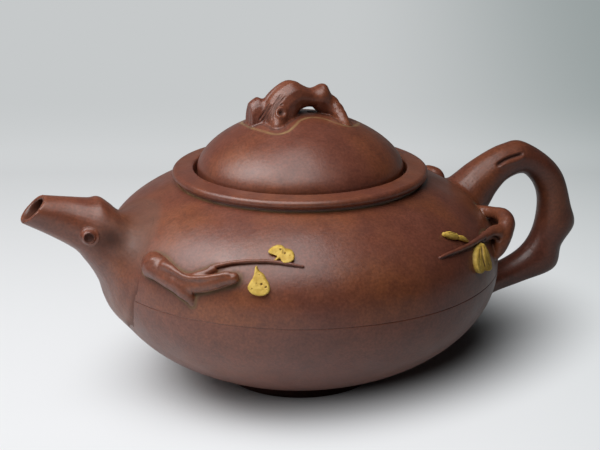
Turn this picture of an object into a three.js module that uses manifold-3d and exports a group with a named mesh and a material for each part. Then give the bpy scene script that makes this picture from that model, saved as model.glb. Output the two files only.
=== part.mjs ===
// A squat teapot in unglazed clay, dressed as a gnarled blossoming branch.
// Millimetres, +Z up. The origin is the middle of the foot's underside. The spout
// points along -X, the handle along +X, and the decorated side faces -Y.
import * as THREE from "three";
import { mergeVertices } from "three/addons/utils/BufferGeometryUtils.js";
import Module from "manifold-3d";

const wasm = await Module();
wasm.setup();

// Driving dimensions

// The body is two pressed halves that meet in a seam at the belly.
const BELLY_RADIUS = 65;
const SEAM_HEIGHT = 39.2;
const BODY_WALL = 3.2;
const SHOULDER_POWERS = { radius: 2.19, height: 2.52 };
const BOWL_POWERS = { radius: 1.553, height: 2.086 };
const FOOT_RADIUS = 25;
const FOOT_HEIGHT = 3.2;
const FOOT_BEVEL = 0.6;

// The mouth: a collar that stands on the shoulder, and a ledge inside it for the lid.
const SEAT_HEIGHT = 67.2; // the flat land that the collar stands on
const COLLAR_WIDTH = 6.9; // from the mouth to the edge of its bead
const COLLAR_HEIGHT = 4.4; // from the land to the inner edge
const COLLAR_FALL = 0.5; // the flat top falls this much to its bead
const BEAD_THICKNESS = 2.9;
const BEAD_OVERHANG = 1.7; // the bead past the neck under it
const MOUTH_RADIUS = 34.6;
const MOUTH_EDGE = 0.5; // softened inner edge of the collar
const LEDGE_WIDTH = 4.3; // ledge inside the mouth
const LEDGE_THICKNESS = 2.7;
const LEDGE_ROOT = 1.4; // how far the ledge reaches under the collar

// The lid: an inset dome with a locating flange under it and a steam hole.
const LID_GAP = 1.2; // round the lid, inside the mouth
const LID_RISE = 17.2; // dome above the collar's inner edge
const LID_POWERS = { radius: 1.88, height: 1.61 };
const LID_WALL = 3;
const FLANGE_CLEARANCE = 0.9;
const FLANGE_WALL = 2.4;
const FLANGE_DEPTH = 7.3;
const STEAM_HOLE_RADIUS = 1.25;
const STEAM_HOLE_PLACE = 3.5; // from the axis, under the knob's arch

// The strainer: a pierced bulb set in the wall behind the spout.
const STRAINER_OPENING = 9.5; // radius of the hole in the wall
const STRAINER_ABOVE = 10.6; // its middle above the seam
const STRAINER_BULGE = 5;
const STRAINER_SKIRT = 3;
const STRAINER_WALL = 1.6;
const STRAINER_HOLE = 1.05;
const STRAINER_RINGS = [
  { radius: 0, count: 1 },
  { radius: 3.1, count: 6 },
  { radius: 6, count: 12 },
];

const LUTE = 0.3; // joint line between a piece and a curved surface that it is luted to
const LID_SEATING = 0.3; // the lid's rim over its ledge
const TURN_FACETS = 40;
const STRAINER_FACETS = 16;

// Branch outlines, as pairs of edge points seen from the side: the distance past the
// belly, the height above the seam, and half the thickness across. They are in limb
// units, 65 of which make the belly's radius.
const SPOUT_SIDE = [
  { low: [26.5, 22.5], top: [18.6, 30.2], half: 5.5, wall: 1.7 },
  { low: [17.7, 17.3], top: [10.9, 28.9], half: 6.5, wall: 2.2 },
  { low: [10.1, 11.9], top: [4.8, 27.9], half: 8.4, wall: 2.7 },
  { low: [7.2, 8.5], top: [1.5, 27.9], half: 9.8, wall: 3 },
  { low: [4.6, 4.7], top: [-1.8, 25.4], half: 11.8, wall: 3.2 },
  { low: [2.4, 0.3], top: [-5, 22.6], half: 14.6, wall: 3.2 },
  { low: [-3.2, -11.2], top: [-11, 20.9], half: 19.4, wall: 3.4 },
  { low: [-20, -18], top: [-27, 19], half: 21, wall: 3.4 },
];
const HANDLE_SIDE = [
  { low: [-22, -3], top: [-32, 13], half: 8.8 },
  { low: [-1.5, 6.8], top: [-12.4, 21.4], half: 8.6 },
  { low: [1.6, 10.7], top: [-3.9, 26.8], half: 7.4 },
  { low: [4.1, 15.4], top: [3.5, 30.7], half: 6.6 },
  { low: [8.5, 20], top: [9.1, 32.6], half: 6.1 },
  { low: [15.3, 22], top: [15.5, 33.1], half: 5.8 },
  { low: [19.6, 19.4], top: [24.6, 27.7], half: 5.6 },
  { low: [22.4, 14.9], top: [31.2, 20.4], half: 5.5 },
  { low: [23.2, 9.6], top: [35.1, 9.6], half: 5.6 },
  { low: [22.4, 3.5], top: [37, 1.9], half: 6 },
  { low: [20.3, -1.8], top: [32.3, -5.3], half: 5.5 },
  { low: [16.6, -5.8], top: [29.6, -13.6], half: 6 },
  { low: [10.9, -8.8], top: [17.1, -17.3], half: 5.5 },
  { low: [5.5, -10.2], top: [7.4, -19.5], half: 5.8 },
  { low: [-3, -10.9], top: [-2, -22.2], half: 7 },
  { low: [-24, -9], top: [-24, -25], half: 8 },
];

// The cut twig on the spout's near side, and the hollow in its end: the distance past the
// belly, the distance to the near side, the height above the seam and the radius.
const SPOUT_STUB = [
  [5.6, 3, 17.8, 2.4],
  [6.8, 7, 18, 2.4],
  [7.4, 8.7, 18.2, 2.3],
];
const SPOUT_STUB_HOLLOW = [
  [7.3, 9.4, 18.2, 1.6],
  [8, 12, 18.4, 1.8],
];

// The knob, from the side: the distance from the axis and the height above the lid, in
// knob units, 33.4 of which make the lid's radius.
const KNOB_ARCH = [
  { low: [-2.4, -8], top: [-13.5, -9], half: 6.6 },
  { low: [-1.9, -1.6], top: [-13.4, -0.6], half: 6.5 },
  { low: [-0.8, 0.7], top: [-10.9, 6.4], half: 5.7 },
  { low: [1.5, 1.7], top: [-3.9, 10.9], half: 4.9 },
  { low: [4, 1.6], top: [3.5, 7.8], half: 3.7 },
  { low: [5.7, 0.1], top: [8.6, 8.8], half: 3.9 },
  { low: [10, -2], top: [12.6, 3.4], half: 3 },
  { low: [14, -5.4], top: [17.6, -3.6], half: 2.7 },
  { low: [15, -10], top: [20.5, -9], half: 2.6 },
];
const KNOB_STUB = [
  { low: [-5, -4], top: [-7, 5.2], half: 4 },
  { low: [-10.4, -6], top: [-10.8, 4.4], half: 4 },
  { low: [-14.8, -8], top: [-13.4, 5.3], half: 3.8 },
  { low: [-16.6, -8], top: [-16.3, 3], half: 3.3 },
];
const KNOB_STUB_BACK = 2.4; // the stub points a little to the far side
// The legs spread into toes on the near side: the distance from the axis, the distance to
// the near side, the height above the lid and the radius.
const KNOB_LEFT_TOE = [
  [-8.2, 2.5, 2.4, 3.6],
  [-9.3, 5.2, -0.2, 3],
  [-10.2, 7.4, -2, 1.9],
];
const KNOB_RIGHT_TOE = [
  [11.4, 0.5, 3.4, 2.7],
  [12.2, 4.6, -0.4, 2.3],
  [12.2, 8.2, -2.8, 1.5],
];

// Branches that lie on the wall: the bearing in degrees anticlockwise from the handle,
// the height above the seam, the distance out from the wall, then half the thickness
// along the wall and half the thickness through it. Heights are in 28ths of the
// shoulder's height, and the rest is in limb units.
const FRONT_TRUNK = [
  [-157.6, 12.4, 0.2, 3.1, 1.8],
  [-155.6, 12.7, 1.1, 4, 2.5],
  [-152.4, 12.5, 1.5, 3.9, 2.8],
  [-148.8, 11.5, 1.3, 3.3, 2.6],
  [-144.6, 9.9, 0.9, 2.9, 2.1],
  [-141.8, 8.2, 0.7, 2.5, 1.8],
  [-140.2, 6.4, 0.3, 1.6, 1.3],
  [-139.7, 5, -0.2, 0.7, 0.8],
];
const FRONT_KNUCKLES = [
  [-155, 12.6, 2.5, 1.6, 1.5],
  [-152.8, 13.5, 3, 1.6, 1.6],
];
const FRONT_CREST = [
  [-148.6, 13.2, 3, 1.7, 1.6],
  [-146.4, 13, 3.2, 1.4, 1.4],
  [-143, 12.2, 3.1, 0.9, 0.9],
  [-140.1, 11.8, 3, 0.8, 0.8],
  [-136.4, 12.2, 2.9, 0.8, 0.8],
  [-132, 13.3, 2.8, 0.9, 0.9],
  [-129.4, 13.9, 2.5, 1, 1],
];
const FRONT_ARM = [
  [-146, 10.2, 0.8, 2.3, 1.9],
  [-140, 10.4, 0.9, 2.5, 1.7],
  [-134.6, 11.5, 1.2, 2.2, 1.8],
  [-130.6, 12.7, 1.4, 1.9, 1.8],
  [-127.9, 13.5, 1.5, 1.8, 1.7],
];
const FRONT_SHOOT = [
  [-147, 11.4, 1.1, 2, 1.8],
  [-142, 11.6, 1.1, 1.4, 1.5],
  [-138, 13, 0.9, 1.4, 1.2],
  [-134.6, 15.2, 0.5, 0.9, 0.9],
];
const FRONT_HOLLOW = [
  [-155.6, 17.4, 4.2, 2, 2],
  [-152.2, 17.6, 4, 1.9, 1.9],
];
const FRONT_TWIG = [
  [-135.6, 15.3, 0.5, 0.75, 0.9],
  [-131.9, 16.6, 0.5, 0.7, 0.85],
  [-127.6, 17.5, 0.5, 0.65, 0.8],
  [-121.7, 18.1, 0.5, 0.65, 0.8],
  [-117.3, 18.1, 0.4, 0.6, 0.75],
  [-112.9, 17.7, 0.4, 0.55, 0.7],
  [-109.2, 17.2, 0.3, 0.35, 0.6],
];
const REAR_TWIG = [
  [-66, 15, 0.1, 0.4, 0.6],
  [-61.5, 15.1, 0.4, 0.6, 0.75],
  [-56.4, 15, 0.5, 0.75, 0.85],
  [-50.4, 14.8, 0.5, 0.85, 0.95],
  [-45, 14.6, 0.6, 0.95, 1.05],
  [-40, 14.3, 0.7, 1.05, 1.15],
];
const REAR_BUD = [
  [-59, 19.6, 0.5, 0.9, 0.8],
  [-57.2, 18.9, 0.8, 1.7, 1.1],
  [-55, 17.9, 0.8, 1.4, 1.1],
  [-53.5, 17.2, 0.7, 0.8, 0.9],
  [-52.4, 16.8, 0.7, 1, 0.9],
  [-51.2, 15.9, 0.5, 0.5, 0.7],
];

// The rear branch arches off the wall, and a burl closes the back of the arch.
const REAR_LOOP = [
  [-18, 17.4, -3, 2.2, 2.2],
  [-20, 16.1, 0.3, 2.1, 2.1],
  [-23, 15.1, 3.1, 1.9, 1.9],
  [-26, 14.2, 5.3, 2.3, 2.3],
  [-29, 13, 5.9, 2.7, 2.7],
  [-31.5, 11.8, 4.6, 2.8, 2.8],
  [-33, 10.2, 3, 2.7, 2.7],
  [-34, 8.2, 1.4, 2.1, 2.1],
  [-35, 6.6, 0.2, 1.3, 1.3],
];
const REAR_BURL = [
  [-19, 16.4, -1.6, 2.6, 2.6],
  [-17.4, 13, -0.6, 3.8, 3.8],
  [-19, 9.4, -0.6, 3.2, 3.2],
];
const REAR_SPUR = [
  [-40.4, 14, 0.7, 1.2, 1.2],
  [-37, 13.7, 1.4, 1.8, 1.8],
  [-34, 12.9, 2.6, 2.4, 2.4],
  [-32, 11.9, 3.7, 2.6, 2.6],
];
const FAR_STUB = [
  [12.5, 18.4, -1.2, 2.3, 2.3],
  [13.5, 19.7, 0.2, 2.6, 2.6],
  [16.5, 20.4, 0.3, 2.5, 2.5],
  [19.5, 20.6, -0.6, 1.9, 1.9],
];

// Flat applied pieces in yellow clay, as outlines of bearing and height above the seam.
const FRONT_DROP = {
  outline: [
    [-122.4, 17], [-123.3, 15], [-123.8, 13.2], [-122.8, 11], [-120.7, 10.1],
    [-118.6, 11], [-117.9, 13], [-119.3, 15.2], [-121.2, 16.6],
  ],
  middle: [-120.9, 13],
  thickness: 1.4,
};
const FRONT_BUD_LOBES = [
  {
    outline: [
      [-119, 20.6], [-118.6, 21.6], [-116.8, 22], [-114.8, 21.6], [-114, 20.6],
      [-115, 19.9], [-117, 19.9],
    ],
    middle: [-116.6, 20.8],
    thickness: 1.2,
  },
  {
    outline: [
      [-116, 20], [-115, 21.2], [-113.2, 21.4], [-111.8, 20.6], [-111.7, 19.3],
      [-113, 18.6], [-115, 18.8],
    ],
    middle: [-113.8, 20],
    thickness: 1.4,
  },
];
const FRONT_BUD_STALK = [
  [-115.4, 19.9, 0.6, 0.7, 0.7],
  [-117.3, 18.9, 0.5, 0.4, 0.5],
];
const REAR_BLOSSOM = {
  outline: [
    [-46.4, 14], [-49, 13.6], [-51.4, 12.6], [-52.7, 10.6], [-53.2, 8.2], [-52, 6.7],
    [-50, 6.6], [-48.4, 5.4], [-46.8, 6.2], [-45.4, 5.4], [-44.3, 6.6], [-44.2, 9.4],
    [-44.6, 12.2], [-45.2, 13.8],
  ],
  middle: [-47.6, 9.6],
  thickness: 2,
};

// Derived sizes

const COLLAR_RADIUS = MOUTH_RADIUS + COLLAR_WIDTH;
const NECK_RADIUS = COLLAR_RADIUS - BEAD_OVERHANG;
const OPENING_RADIUS = MOUTH_RADIUS + LEDGE_ROOT;
const LEDGE_RADIUS = MOUTH_RADIUS - LEDGE_WIDTH;
const COLLAR_TOP = SEAT_HEIGHT + COLLAR_HEIGHT;
const LID_RADIUS = MOUTH_RADIUS - LID_GAP;
const LID_UNDERSIDE = SEAT_HEIGHT + LID_SEATING;
const LID_APEX = COLLAR_TOP + LID_RISE;
const FLANGE_RADIUS = LEDGE_RADIUS - FLANGE_CLEARANCE;
const LIMB_UNIT = BELLY_RADIUS / 65;
const SHOULDER_UNIT = (SEAT_HEIGHT - SEAM_HEIGHT) / 28;
const KNOB_UNIT = LID_RADIUS / 33.4;

// The height of a rounded profile over its base, at a share of its radius.
function crown(share, powers) {
  return (1 - Math.min(share, 1) ** powers.radius) ** (1 / powers.height);
}

// Each half's curve is stretched so that it passes through the land or the foot's edge.
const SHOULDER_RISE = (SEAT_HEIGHT - SEAM_HEIGHT) / crown(NECK_RADIUS / BELLY_RADIUS, SHOULDER_POWERS);
const BOWL_DEPTH = (SEAM_HEIGHT - FOOT_HEIGHT) / crown(FOOT_RADIUS / BELLY_RADIUS, BOWL_POWERS);

const redClay = () => new THREE.MeshStandardMaterial({ color: "#85503f", roughness: 0.55, metalness: 0 });
const yellowClay = () => new THREE.MeshStandardMaterial({ color: "#cdb255", roughness: 0.65, metalness: 0 });

// Curves

/** Reads a smooth curve through evenly spaced values, at t from 0 to 1. */
function through(values, t) {
  const last = values.length - 1;
  const place = t * last;
  const i = Math.min(Math.floor(place), last - 1);
  const f = place - i;
  const [a, b, c, d] = [values[Math.max(i - 1, 0)], values[i], values[i + 1], values[Math.min(i + 2, last)]];
  return b + 0.5 * f * (c - a + f * (2 * a - 5 * b + 4 * c - d + f * (3 * (b - c) + d - a)));
}

/** Reads a smooth curve through rows of values, one curve for each column. */
function throughRows(rows, t) {
  return rows[0].map((_, column) => through(rows.map((row) => row[column]), t));
}

/** Evenly spaced numbers from 0 to 1, both included. */
function shares(steps) {
  return Array.from({ length: steps + 1 }, (_, i) => i / steps);
}

/** Points of a half profile from its widest radius to a smaller one, as radius and rise. */
function crownCurve(radius, rise, powers, endRadius, steps) {
  const endAngle = Math.acos((endRadius / radius) ** (powers.radius / 2));
  return shares(steps).map((t) => {
    const angle = t * endAngle;
    return [radius * Math.cos(angle) ** (2 / powers.radius), rise * Math.sin(angle) ** (2 / powers.height)];
  });
}

/** Moves an open profile curve sideways, to the left of its direction if positive. */
function offsetCurve(points, distance) {
  return points.map(([r, z], i) => {
    const [r0, z0] = points[Math.max(i - 1, 0)];
    const [r1, z1] = points[Math.min(i + 1, points.length - 1)];
    const length = Math.hypot(r1 - r0, z1 - z0);
    return [r - ((z1 - z0) / length) * distance, z + ((r1 - r0) / length) * distance];
  });
}

/** The body's outside radius at a height above the seam, which is negative below it. */
function wallRadius(above) {
  const [reach, powers] = above > 0 ? [SHOULDER_RISE, SHOULDER_POWERS] : [BOWL_DEPTH, BOWL_POWERS];
  const share = Math.min(Math.abs(above) / reach, 1);
  return BELLY_RADIUS * (1 - share ** powers.height) ** (1 / powers.radius);
}

/** How far the wall's outward normal leans up from the level, in radians. */
function wallLean(above) {
  const probe = 0.05;
  return Math.atan2(wallRadius(above - probe) - wallRadius(above + probe), 2 * probe);
}

/** A point past the belly, by bearing in degrees, distance past it and height over the seam. */
function aroundPoint(bearing, reach, above) {
  const angle = THREE.MathUtils.degToRad(bearing);
  const radius = BELLY_RADIUS + reach;
  return new THREE.Vector3(radius * Math.cos(angle), radius * Math.sin(angle), SEAM_HEIGHT + above);
}

/** The wall's outward direction at a bearing and a height above the seam. */
function wallNormal(bearing, above) {
  const angle = THREE.MathUtils.degToRad(bearing);
  const lean = wallLean(above);
  const level = Math.cos(lean);
  return new THREE.Vector3(level * Math.cos(angle), level * Math.sin(angle), Math.sin(lean));
}

/** A point at a distance out from the wall. */
function wallPoint(bearing, above, out) {
  const onWall = aroundPoint(bearing, wallRadius(above) - BELLY_RADIUS, above);
  return onWall.addScaledVector(wallNormal(bearing, above), out);
}

// Solids

/** Skins a solid over rings of points, and closes each end with a fan. */
function skin(rings) {
  const sides = rings[0].length;
  const points = rings.flat();
  const index = [];
  for (let i = 0; i < rings.length - 1; i++) {
    for (let j = 0; j < sides; j++) {
      const a = i * sides + j;
      const b = i * sides + ((j + 1) % sides);
      index.push(a, b, b + sides, a, b + sides, a + sides);
    }
  }
  for (const [first, turned] of [[0, true], [(rings.length - 1) * sides, false]]) {
    const middle = points.length;
    const ring = points.slice(first, first + sides);
    points.push(ring.reduce((sum, p) => sum.add(p), new THREE.Vector3()).divideScalar(sides));
    for (let j = 0; j < sides; j++) {
      const [a, b] = [first + j, first + ((j + 1) % sides)];
      index.push(middle, turned ? b : a, turned ? a : b);
    }
  }
  const geometry = new THREE.BufferGeometry().setFromPoints(points);
  geometry.setIndex(index);
  return geometry;
}

/** Six times the volume that a mesh encloses, negative where its faces point inward. */
function signedVolume(vertices, faces) {
  const corner = (i) => new THREE.Vector3().fromArray(vertices, 3 * faces[i]);
  let sum = 0;
  for (let i = 0; i < faces.length; i += 3) sum += corner(i).dot(corner(i + 1).cross(corner(i + 2)));
  return sum;
}

/** A closed geometry as a solid that can be joined and cut. */
function solid(geometry) {
  const bare = geometry.clone();
  bare.deleteAttribute("normal");
  bare.deleteAttribute("uv");
  const merged = mergeVertices(bare);
  const vertices = merged.attributes.position.array;
  const faces = [];
  for (let i = 0; i < merged.index.count; i += 3) {
    const [a, b, c] = [0, 1, 2].map((k) => merged.index.getX(i + k));
    if (a !== b && b !== c && c !== a) faces.push(a, b, c);
  }
  if (signedVolume(vertices, faces) < 0) faces.reverse();
  return new wasm.Manifold(
    new wasm.Mesh({ numProp: 3, vertProperties: vertices, triVerts: new Uint32Array(faces) }),
  );
}

/** Turns a closed profile of radius and height about the upright axis. */
function turned(profile, facets = TURN_FACETS) {
  const outline = profile.map(([r, z]) => new THREE.Vector2(r, z));
  return new THREE.LatheGeometry(outline, facets).rotateX(Math.PI / 2);
}

/** A ring of points of an ellipse about a centre, from its two half axes. */
function sectionRing(centre, deep, wide, sides) {
  return Array.from({ length: sides }, (_, i) => {
    const angle = (2 * Math.PI * i) / sides;
    return centre.clone().addScaledVector(deep, Math.cos(angle)).addScaledVector(wide, Math.sin(angle));
  });
}

/**
 * The rings of a limb between two edges drawn in the XZ plane. Each row has its low and
 * top edge points and half the thickness across; place(x, height) sets a point of the
 * drawing into the part. A hollow limb shrinks every section by the row's own wall.
 */
function edgedLimb(rows, place, { unit, steps, sides, grow = 0, hollow = false }) {
  const table = rows.map((row) => [...row.low, ...row.top, row.half, hollow ? row.wall : 0]);
  return shares((rows.length - 1) * steps).map((t) => {
    const [lowX, lowZ, topX, topZ, half, wall] = throughRows(table, t);
    const low = place(lowX, lowZ);
    const top = place(topX, topZ);
    const deep = top.clone().sub(low).multiplyScalar(0.5);
    const centre = low.clone().add(deep);
    deep.setLength(deep.length() - wall * unit + grow);
    return sectionRing(centre, deep, new THREE.Vector3(0, (half - wall) * unit + grow, 0), sides);
  });
}

const END_ROUNDING = [60, 30]; // degrees along the quarter circle that closes an end

/**
 * A limb along stations that each have a point, a face direction, and half the
 * thickness across and along that direction. Its ends are rounded over.
 */
function roundLimb(stations, { steps, sides, grow = 0 }) {
  const table = stations.map(({ at, face, wide, deep }) => [...at.toArray(), ...face.toArray(), wide, deep]);
  const read = (t) => {
    const [x, y, z, fx, fy, fz, wide, deep] = throughRows(table, t);
    return { at: new THREE.Vector3(x, y, z), face: new THREE.Vector3(fx, fy, fz), wide, deep };
  };
  const count = (stations.length - 1) * steps;
  const probe = 0.25 / count;
  const sections = shares(count).map((t) => {
    const { at, face, wide, deep } = read(t);
    const along = read(Math.min(t + probe, 1)).at.sub(read(Math.max(t - probe, 0)).at).normalize();
    const deepAxis = face.addScaledVector(along, -face.dot(along)).normalize();
    const wideAxis = along.clone().cross(deepAxis);
    return { at, along, deepAxis, wideAxis, wide: wide + grow, deep: deep + grow };
  });
  const ringOf = ({ at, along, deepAxis, wideAxis, wide, deep }, scale = 1, push = 0) =>
    sectionRing(
      at.clone().addScaledVector(along, push * Math.min(wide, deep)),
      deepAxis.clone().multiplyScalar(deep * scale),
      wideAxis.clone().multiplyScalar(wide * scale),
      sides,
    );
  const roundings = END_ROUNDING.map(THREE.MathUtils.degToRad);
  const first = sections[0];
  const last = sections.at(-1);
  return skin([
    ...roundings.map((angle) => ringOf(first, Math.cos(angle), -Math.sin(angle))),
    ...sections.map((section) => ringOf(section)),
    ...roundings.toReversed().map((angle) => ringOf(last, Math.cos(angle), Math.sin(angle))),
  ]);
}

/** A branch on the wall, from rows of bearing, height, distance out and half sizes. */
function wallLimb(rows, options) {
  const stations = rows.map(([bearing, above, out, wide, deep]) => ({
    at: wallPoint(bearing, above * SHOULDER_UNIT, out * LIMB_UNIT),
    face: wallNormal(bearing, above * SHOULDER_UNIT),
    wide: wide * LIMB_UNIT,
    deep: deep * LIMB_UNIT,
  }));
  return solid(roundLimb(stations, options));
}

/** A limb that runs to the near side, from rows of a drawing's place, that distance and a radius. */
function sideLimb(rows, place, unit, options) {
  const stations = rows.map(([x, side, above, radius]) => ({
    at: place(x, above).setY(-side * unit),
    face: new THREE.Vector3(0, 0, 1),
    wide: radius * unit,
    deep: radius * unit,
  }));
  return solid(roundLimb(stations, options));
}

// A pressed piece's layers: the share of its outline, and the share of its thickness.
const PAD_LAYERS = [
  [0.4, 0],
  [0.97, 0],
  [1, 0.45],
  [0.86, 0.9],
  [0.45, 1],
];

/** A flat piece pressed on the wall: a rounded edge all round and a low crown. */
function wallPad({ outline, middle, thickness }, steps = 2) {
  const closed = outline.concat([outline[0]]);
  const edge = shares(outline.length * steps).slice(0, -1).map((t) => throughRows(closed, t));
  const layers = PAD_LAYERS.map(([share, height]) =>
    edge.map(([bearing, above]) =>
      wallPoint(
        THREE.MathUtils.lerp(middle[0], bearing, share),
        THREE.MathUtils.lerp(middle[1], above, share) * SHOULDER_UNIT,
        LUTE + height * thickness,
      ),
    ),
  );
  return solid(skin(layers));
}

/** A profile curve filled to the axis as one solid, grown outward by a margin. */
function filled(curve, margin) {
  const outside = offsetCurve(curve, -margin);
  return solid(turned([[0, outside[0][1]], ...outside, [0, outside.at(-1)[1]]]));
}

// The body's profiles, from the foot up to the neck

const BOWL_STEPS = 8;
const SHOULDER_STEPS = 7;

const bowlCurve = crownCurve(BELLY_RADIUS, BOWL_DEPTH, BOWL_POWERS, FOOT_RADIUS, BOWL_STEPS)
  .map(([r, drop]) => [r, SEAM_HEIGHT - drop])
  .reverse();
const shoulderCurve = crownCurve(BELLY_RADIUS, SHOULDER_RISE, SHOULDER_POWERS, NECK_RADIUS, SHOULDER_STEPS)
  .map(([r, rise]) => [r, SEAM_HEIGHT + rise]);
const bodyCurve = [...bowlCurve.slice(0, -1), ...shoulderCurve];
const lidCurve = crownCurve(LID_RADIUS, LID_RISE, LID_POWERS, 0, SHOULDER_STEPS)
  .map(([r, rise]) => [r, COLLAR_TOP + rise]);

/** A curve's inner skin at the wall's distance, where keep says so. */
function innerSkin(curve, wall, keep) {
  return offsetCurve(curve, wall).filter(keep);
}

// Pieces of the pot

function footDisc() {
  return solid(
    turned([
      [0, 0],
      [FOOT_RADIUS - FOOT_BEVEL, 0],
      [FOOT_RADIUS, FOOT_BEVEL],
      [FOOT_RADIUS, FOOT_HEIGHT],
      [0, FOOT_HEIGHT],
    ]),
  );
}

function lowerBowl() {
  const floor = FOOT_HEIGHT + BODY_WALL;
  const inside = innerSkin(bowlCurve, BODY_WALL, ([, z]) => z > floor && z < SEAM_HEIGHT);
  return solid(
    turned([
      [0, FOOT_HEIGHT],
      ...bowlCurve,
      [BELLY_RADIUS - BODY_WALL, SEAM_HEIGHT],
      ...inside.toReversed(),
      [inside[0][0] - BODY_WALL, floor],
      [0, floor],
    ]),
  );
}

function strainerFrame() {
  const outward = wallNormal(180, STRAINER_ABOVE);
  const turn = new THREE.Quaternion().setFromUnitVectors(new THREE.Vector3(0, 0, 1), outward);
  return new THREE.Matrix4().compose(
    wallPoint(180, STRAINER_ABOVE, 0),
    turn,
    new THREE.Vector3(1, 1, 1),
  );
}

/** An upright rod in the strainer's own frame, where +Z points out of the wall. */
function strainerRod(radius, length, x, y, facets) {
  const rod = new THREE.CylinderGeometry(radius, radius, length, facets).rotateX(Math.PI / 2);
  return solid(rod.translate(x, y, 0).applyMatrix4(strainerFrame()));
}

function upperShoulder() {
  const inside = innerSkin(shoulderCurve, BODY_WALL, ([r, z]) => r > OPENING_RADIUS && z > SEAM_HEIGHT);
  const shell = solid(
    turned([
      [BELLY_RADIUS - BODY_WALL, SEAM_HEIGHT],
      ...shoulderCurve,
      [OPENING_RADIUS, SEAT_HEIGHT],
      [OPENING_RADIUS, inside.at(-1)[1]],
      ...inside.toReversed(),
      [BELLY_RADIUS - BODY_WALL, SEAM_HEIGHT],
    ]),
  );
  return shell.subtract(strainerRod(STRAINER_OPENING, 5 * BODY_WALL, 0, 0, STRAINER_FACETS));
}

function strainer() {
  const radius = STRAINER_OPENING - LUTE;
  const dome = (r, bulge) =>
    shares(3).map((t) => {
      const angle = (t * Math.PI) / 2;
      return [r * Math.cos(angle), -STRAINER_SKIRT - bulge * Math.sin(angle)];
    });
  const bulb = turned(
    [
      ...dome(radius, STRAINER_BULGE).reverse(),
      [radius, 0],
      [radius - STRAINER_WALL, 0],
      ...dome(radius - STRAINER_WALL, STRAINER_BULGE - STRAINER_WALL),
    ],
    STRAINER_FACETS,
  );
  const needle = 4 * (STRAINER_SKIRT + STRAINER_BULGE);
  let pierced = solid(bulb.applyMatrix4(strainerFrame())).intersect(filled(bodyCurve, -LUTE));
  for (const { radius: ring, count } of STRAINER_RINGS) {
    for (let i = 0; i < count; i++) {
      const angle = (2 * Math.PI * i) / count;
      const hole = strainerRod(STRAINER_HOLE, needle, ring * Math.cos(angle), ring * Math.sin(angle), 6);
      pierced = pierced.subtract(hole);
    }
  }
  return pierced;
}

function mouthCollar() {
  const beadRadius = BEAD_THICKNESS / 2;
  const beadMiddle = COLLAR_TOP - COLLAR_FALL - beadRadius;
  const bead = shares(5).map((t) => {
    const angle = (t - 0.5) * Math.PI;
    return [COLLAR_RADIUS - beadRadius * (1 - Math.cos(angle)), beadMiddle + beadRadius * Math.sin(angle)];
  });
  return solid(
    turned([
      [MOUTH_RADIUS, SEAT_HEIGHT],
      [NECK_RADIUS, SEAT_HEIGHT],
      [NECK_RADIUS, beadMiddle - beadRadius],
      ...bead,
      [MOUTH_RADIUS + MOUTH_EDGE, COLLAR_TOP],
      [MOUTH_RADIUS, COLLAR_TOP - MOUTH_EDGE],
      [MOUTH_RADIUS, SEAT_HEIGHT],
    ]),
  );
}

function lidLedge() {
  const bottom = SEAT_HEIGHT - LEDGE_THICKNESS;
  return solid(
    turned([
      [LEDGE_RADIUS, bottom],
      [OPENING_RADIUS - LUTE, bottom],
      [OPENING_RADIUS - LUTE, SEAT_HEIGHT],
      [LEDGE_RADIUS, SEAT_HEIGHT],
      [LEDGE_RADIUS, bottom],
    ]),
  );
}

// What is luted on is cut by the full form that it lies on, grown by the joint line.
const bodyCutter = filled(bodyCurve, LUTE);
const lidCutter = filled([[LID_RADIUS, LID_UNDERSIDE], ...lidCurve], LUTE);

const placeSpout = (reach, above) =>
  new THREE.Vector3(-BELLY_RADIUS - reach * LIMB_UNIT, 0, SEAM_HEIGHT + above * LIMB_UNIT);
const placeHandle = (reach, above) =>
  new THREE.Vector3(BELLY_RADIUS + reach * LIMB_UNIT, 0, SEAM_HEIGHT + above * LIMB_UNIT);
const placeKnob = (x, above) => new THREE.Vector3(x * KNOB_UNIT, 0, LID_APEX + above * KNOB_UNIT);

/** The spout's outside, grown by a margin. */
function spoutForm(grow = 0) {
  return solid(skin(edgedLimb(SPOUT_SIDE, placeSpout, { unit: LIMB_UNIT, steps: 2, sides: 20, grow })));
}

/** The spout's bore, which runs on past the mouth. */
function spoutBore() {
  const options = { unit: LIMB_UNIT, steps: 2, sides: 14, hollow: true };
  const rings = edgedLimb(SPOUT_SIDE, placeSpout, options);
  const past = rings[0].map((p, i) => p.clone().multiplyScalar(2).sub(rings[1][i]));
  return solid(skin([past, ...rings]));
}

function spout() {
  return spoutForm().subtract(spoutBore()).subtract(bodyCutter);
}

/** A cut twig on the spout's near side, under its knuckle, hollow at the cut. */
function spoutStub() {
  const options = { steps: 2, sides: 10 };
  return sideLimb(SPOUT_STUB, placeSpout, LIMB_UNIT, options)
    .subtract(sideLimb(SPOUT_STUB_HOLLOW, placeSpout, LIMB_UNIT, options))
    .subtract(spoutForm(LUTE));
}

/** The handle's full form, grown by a margin. */
function handleForm(grow = 0) {
  return solid(skin(edgedLimb(HANDLE_SIDE, placeHandle, { unit: LIMB_UNIT, steps: 2, sides: 16, grow })));
}

function handleFarStub() {
  return wallLimb(FAR_STUB, { steps: 2, sides: 10 }).subtract(bodyCutter).subtract(handleForm(LUTE));
}

function frontBranchForm(grow = 0) {
  const options = { steps: 2, sides: 8, grow };
  return [FRONT_TRUNK, FRONT_KNUCKLES, FRONT_CREST, FRONT_ARM, FRONT_SHOOT]
    .map((rows) => wallLimb(rows, options))
    .reduce((whole, limb) => whole.add(limb))
    .subtract(wallLimb(FRONT_HOLLOW, { steps: 2, sides: 9 }));
}

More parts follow.
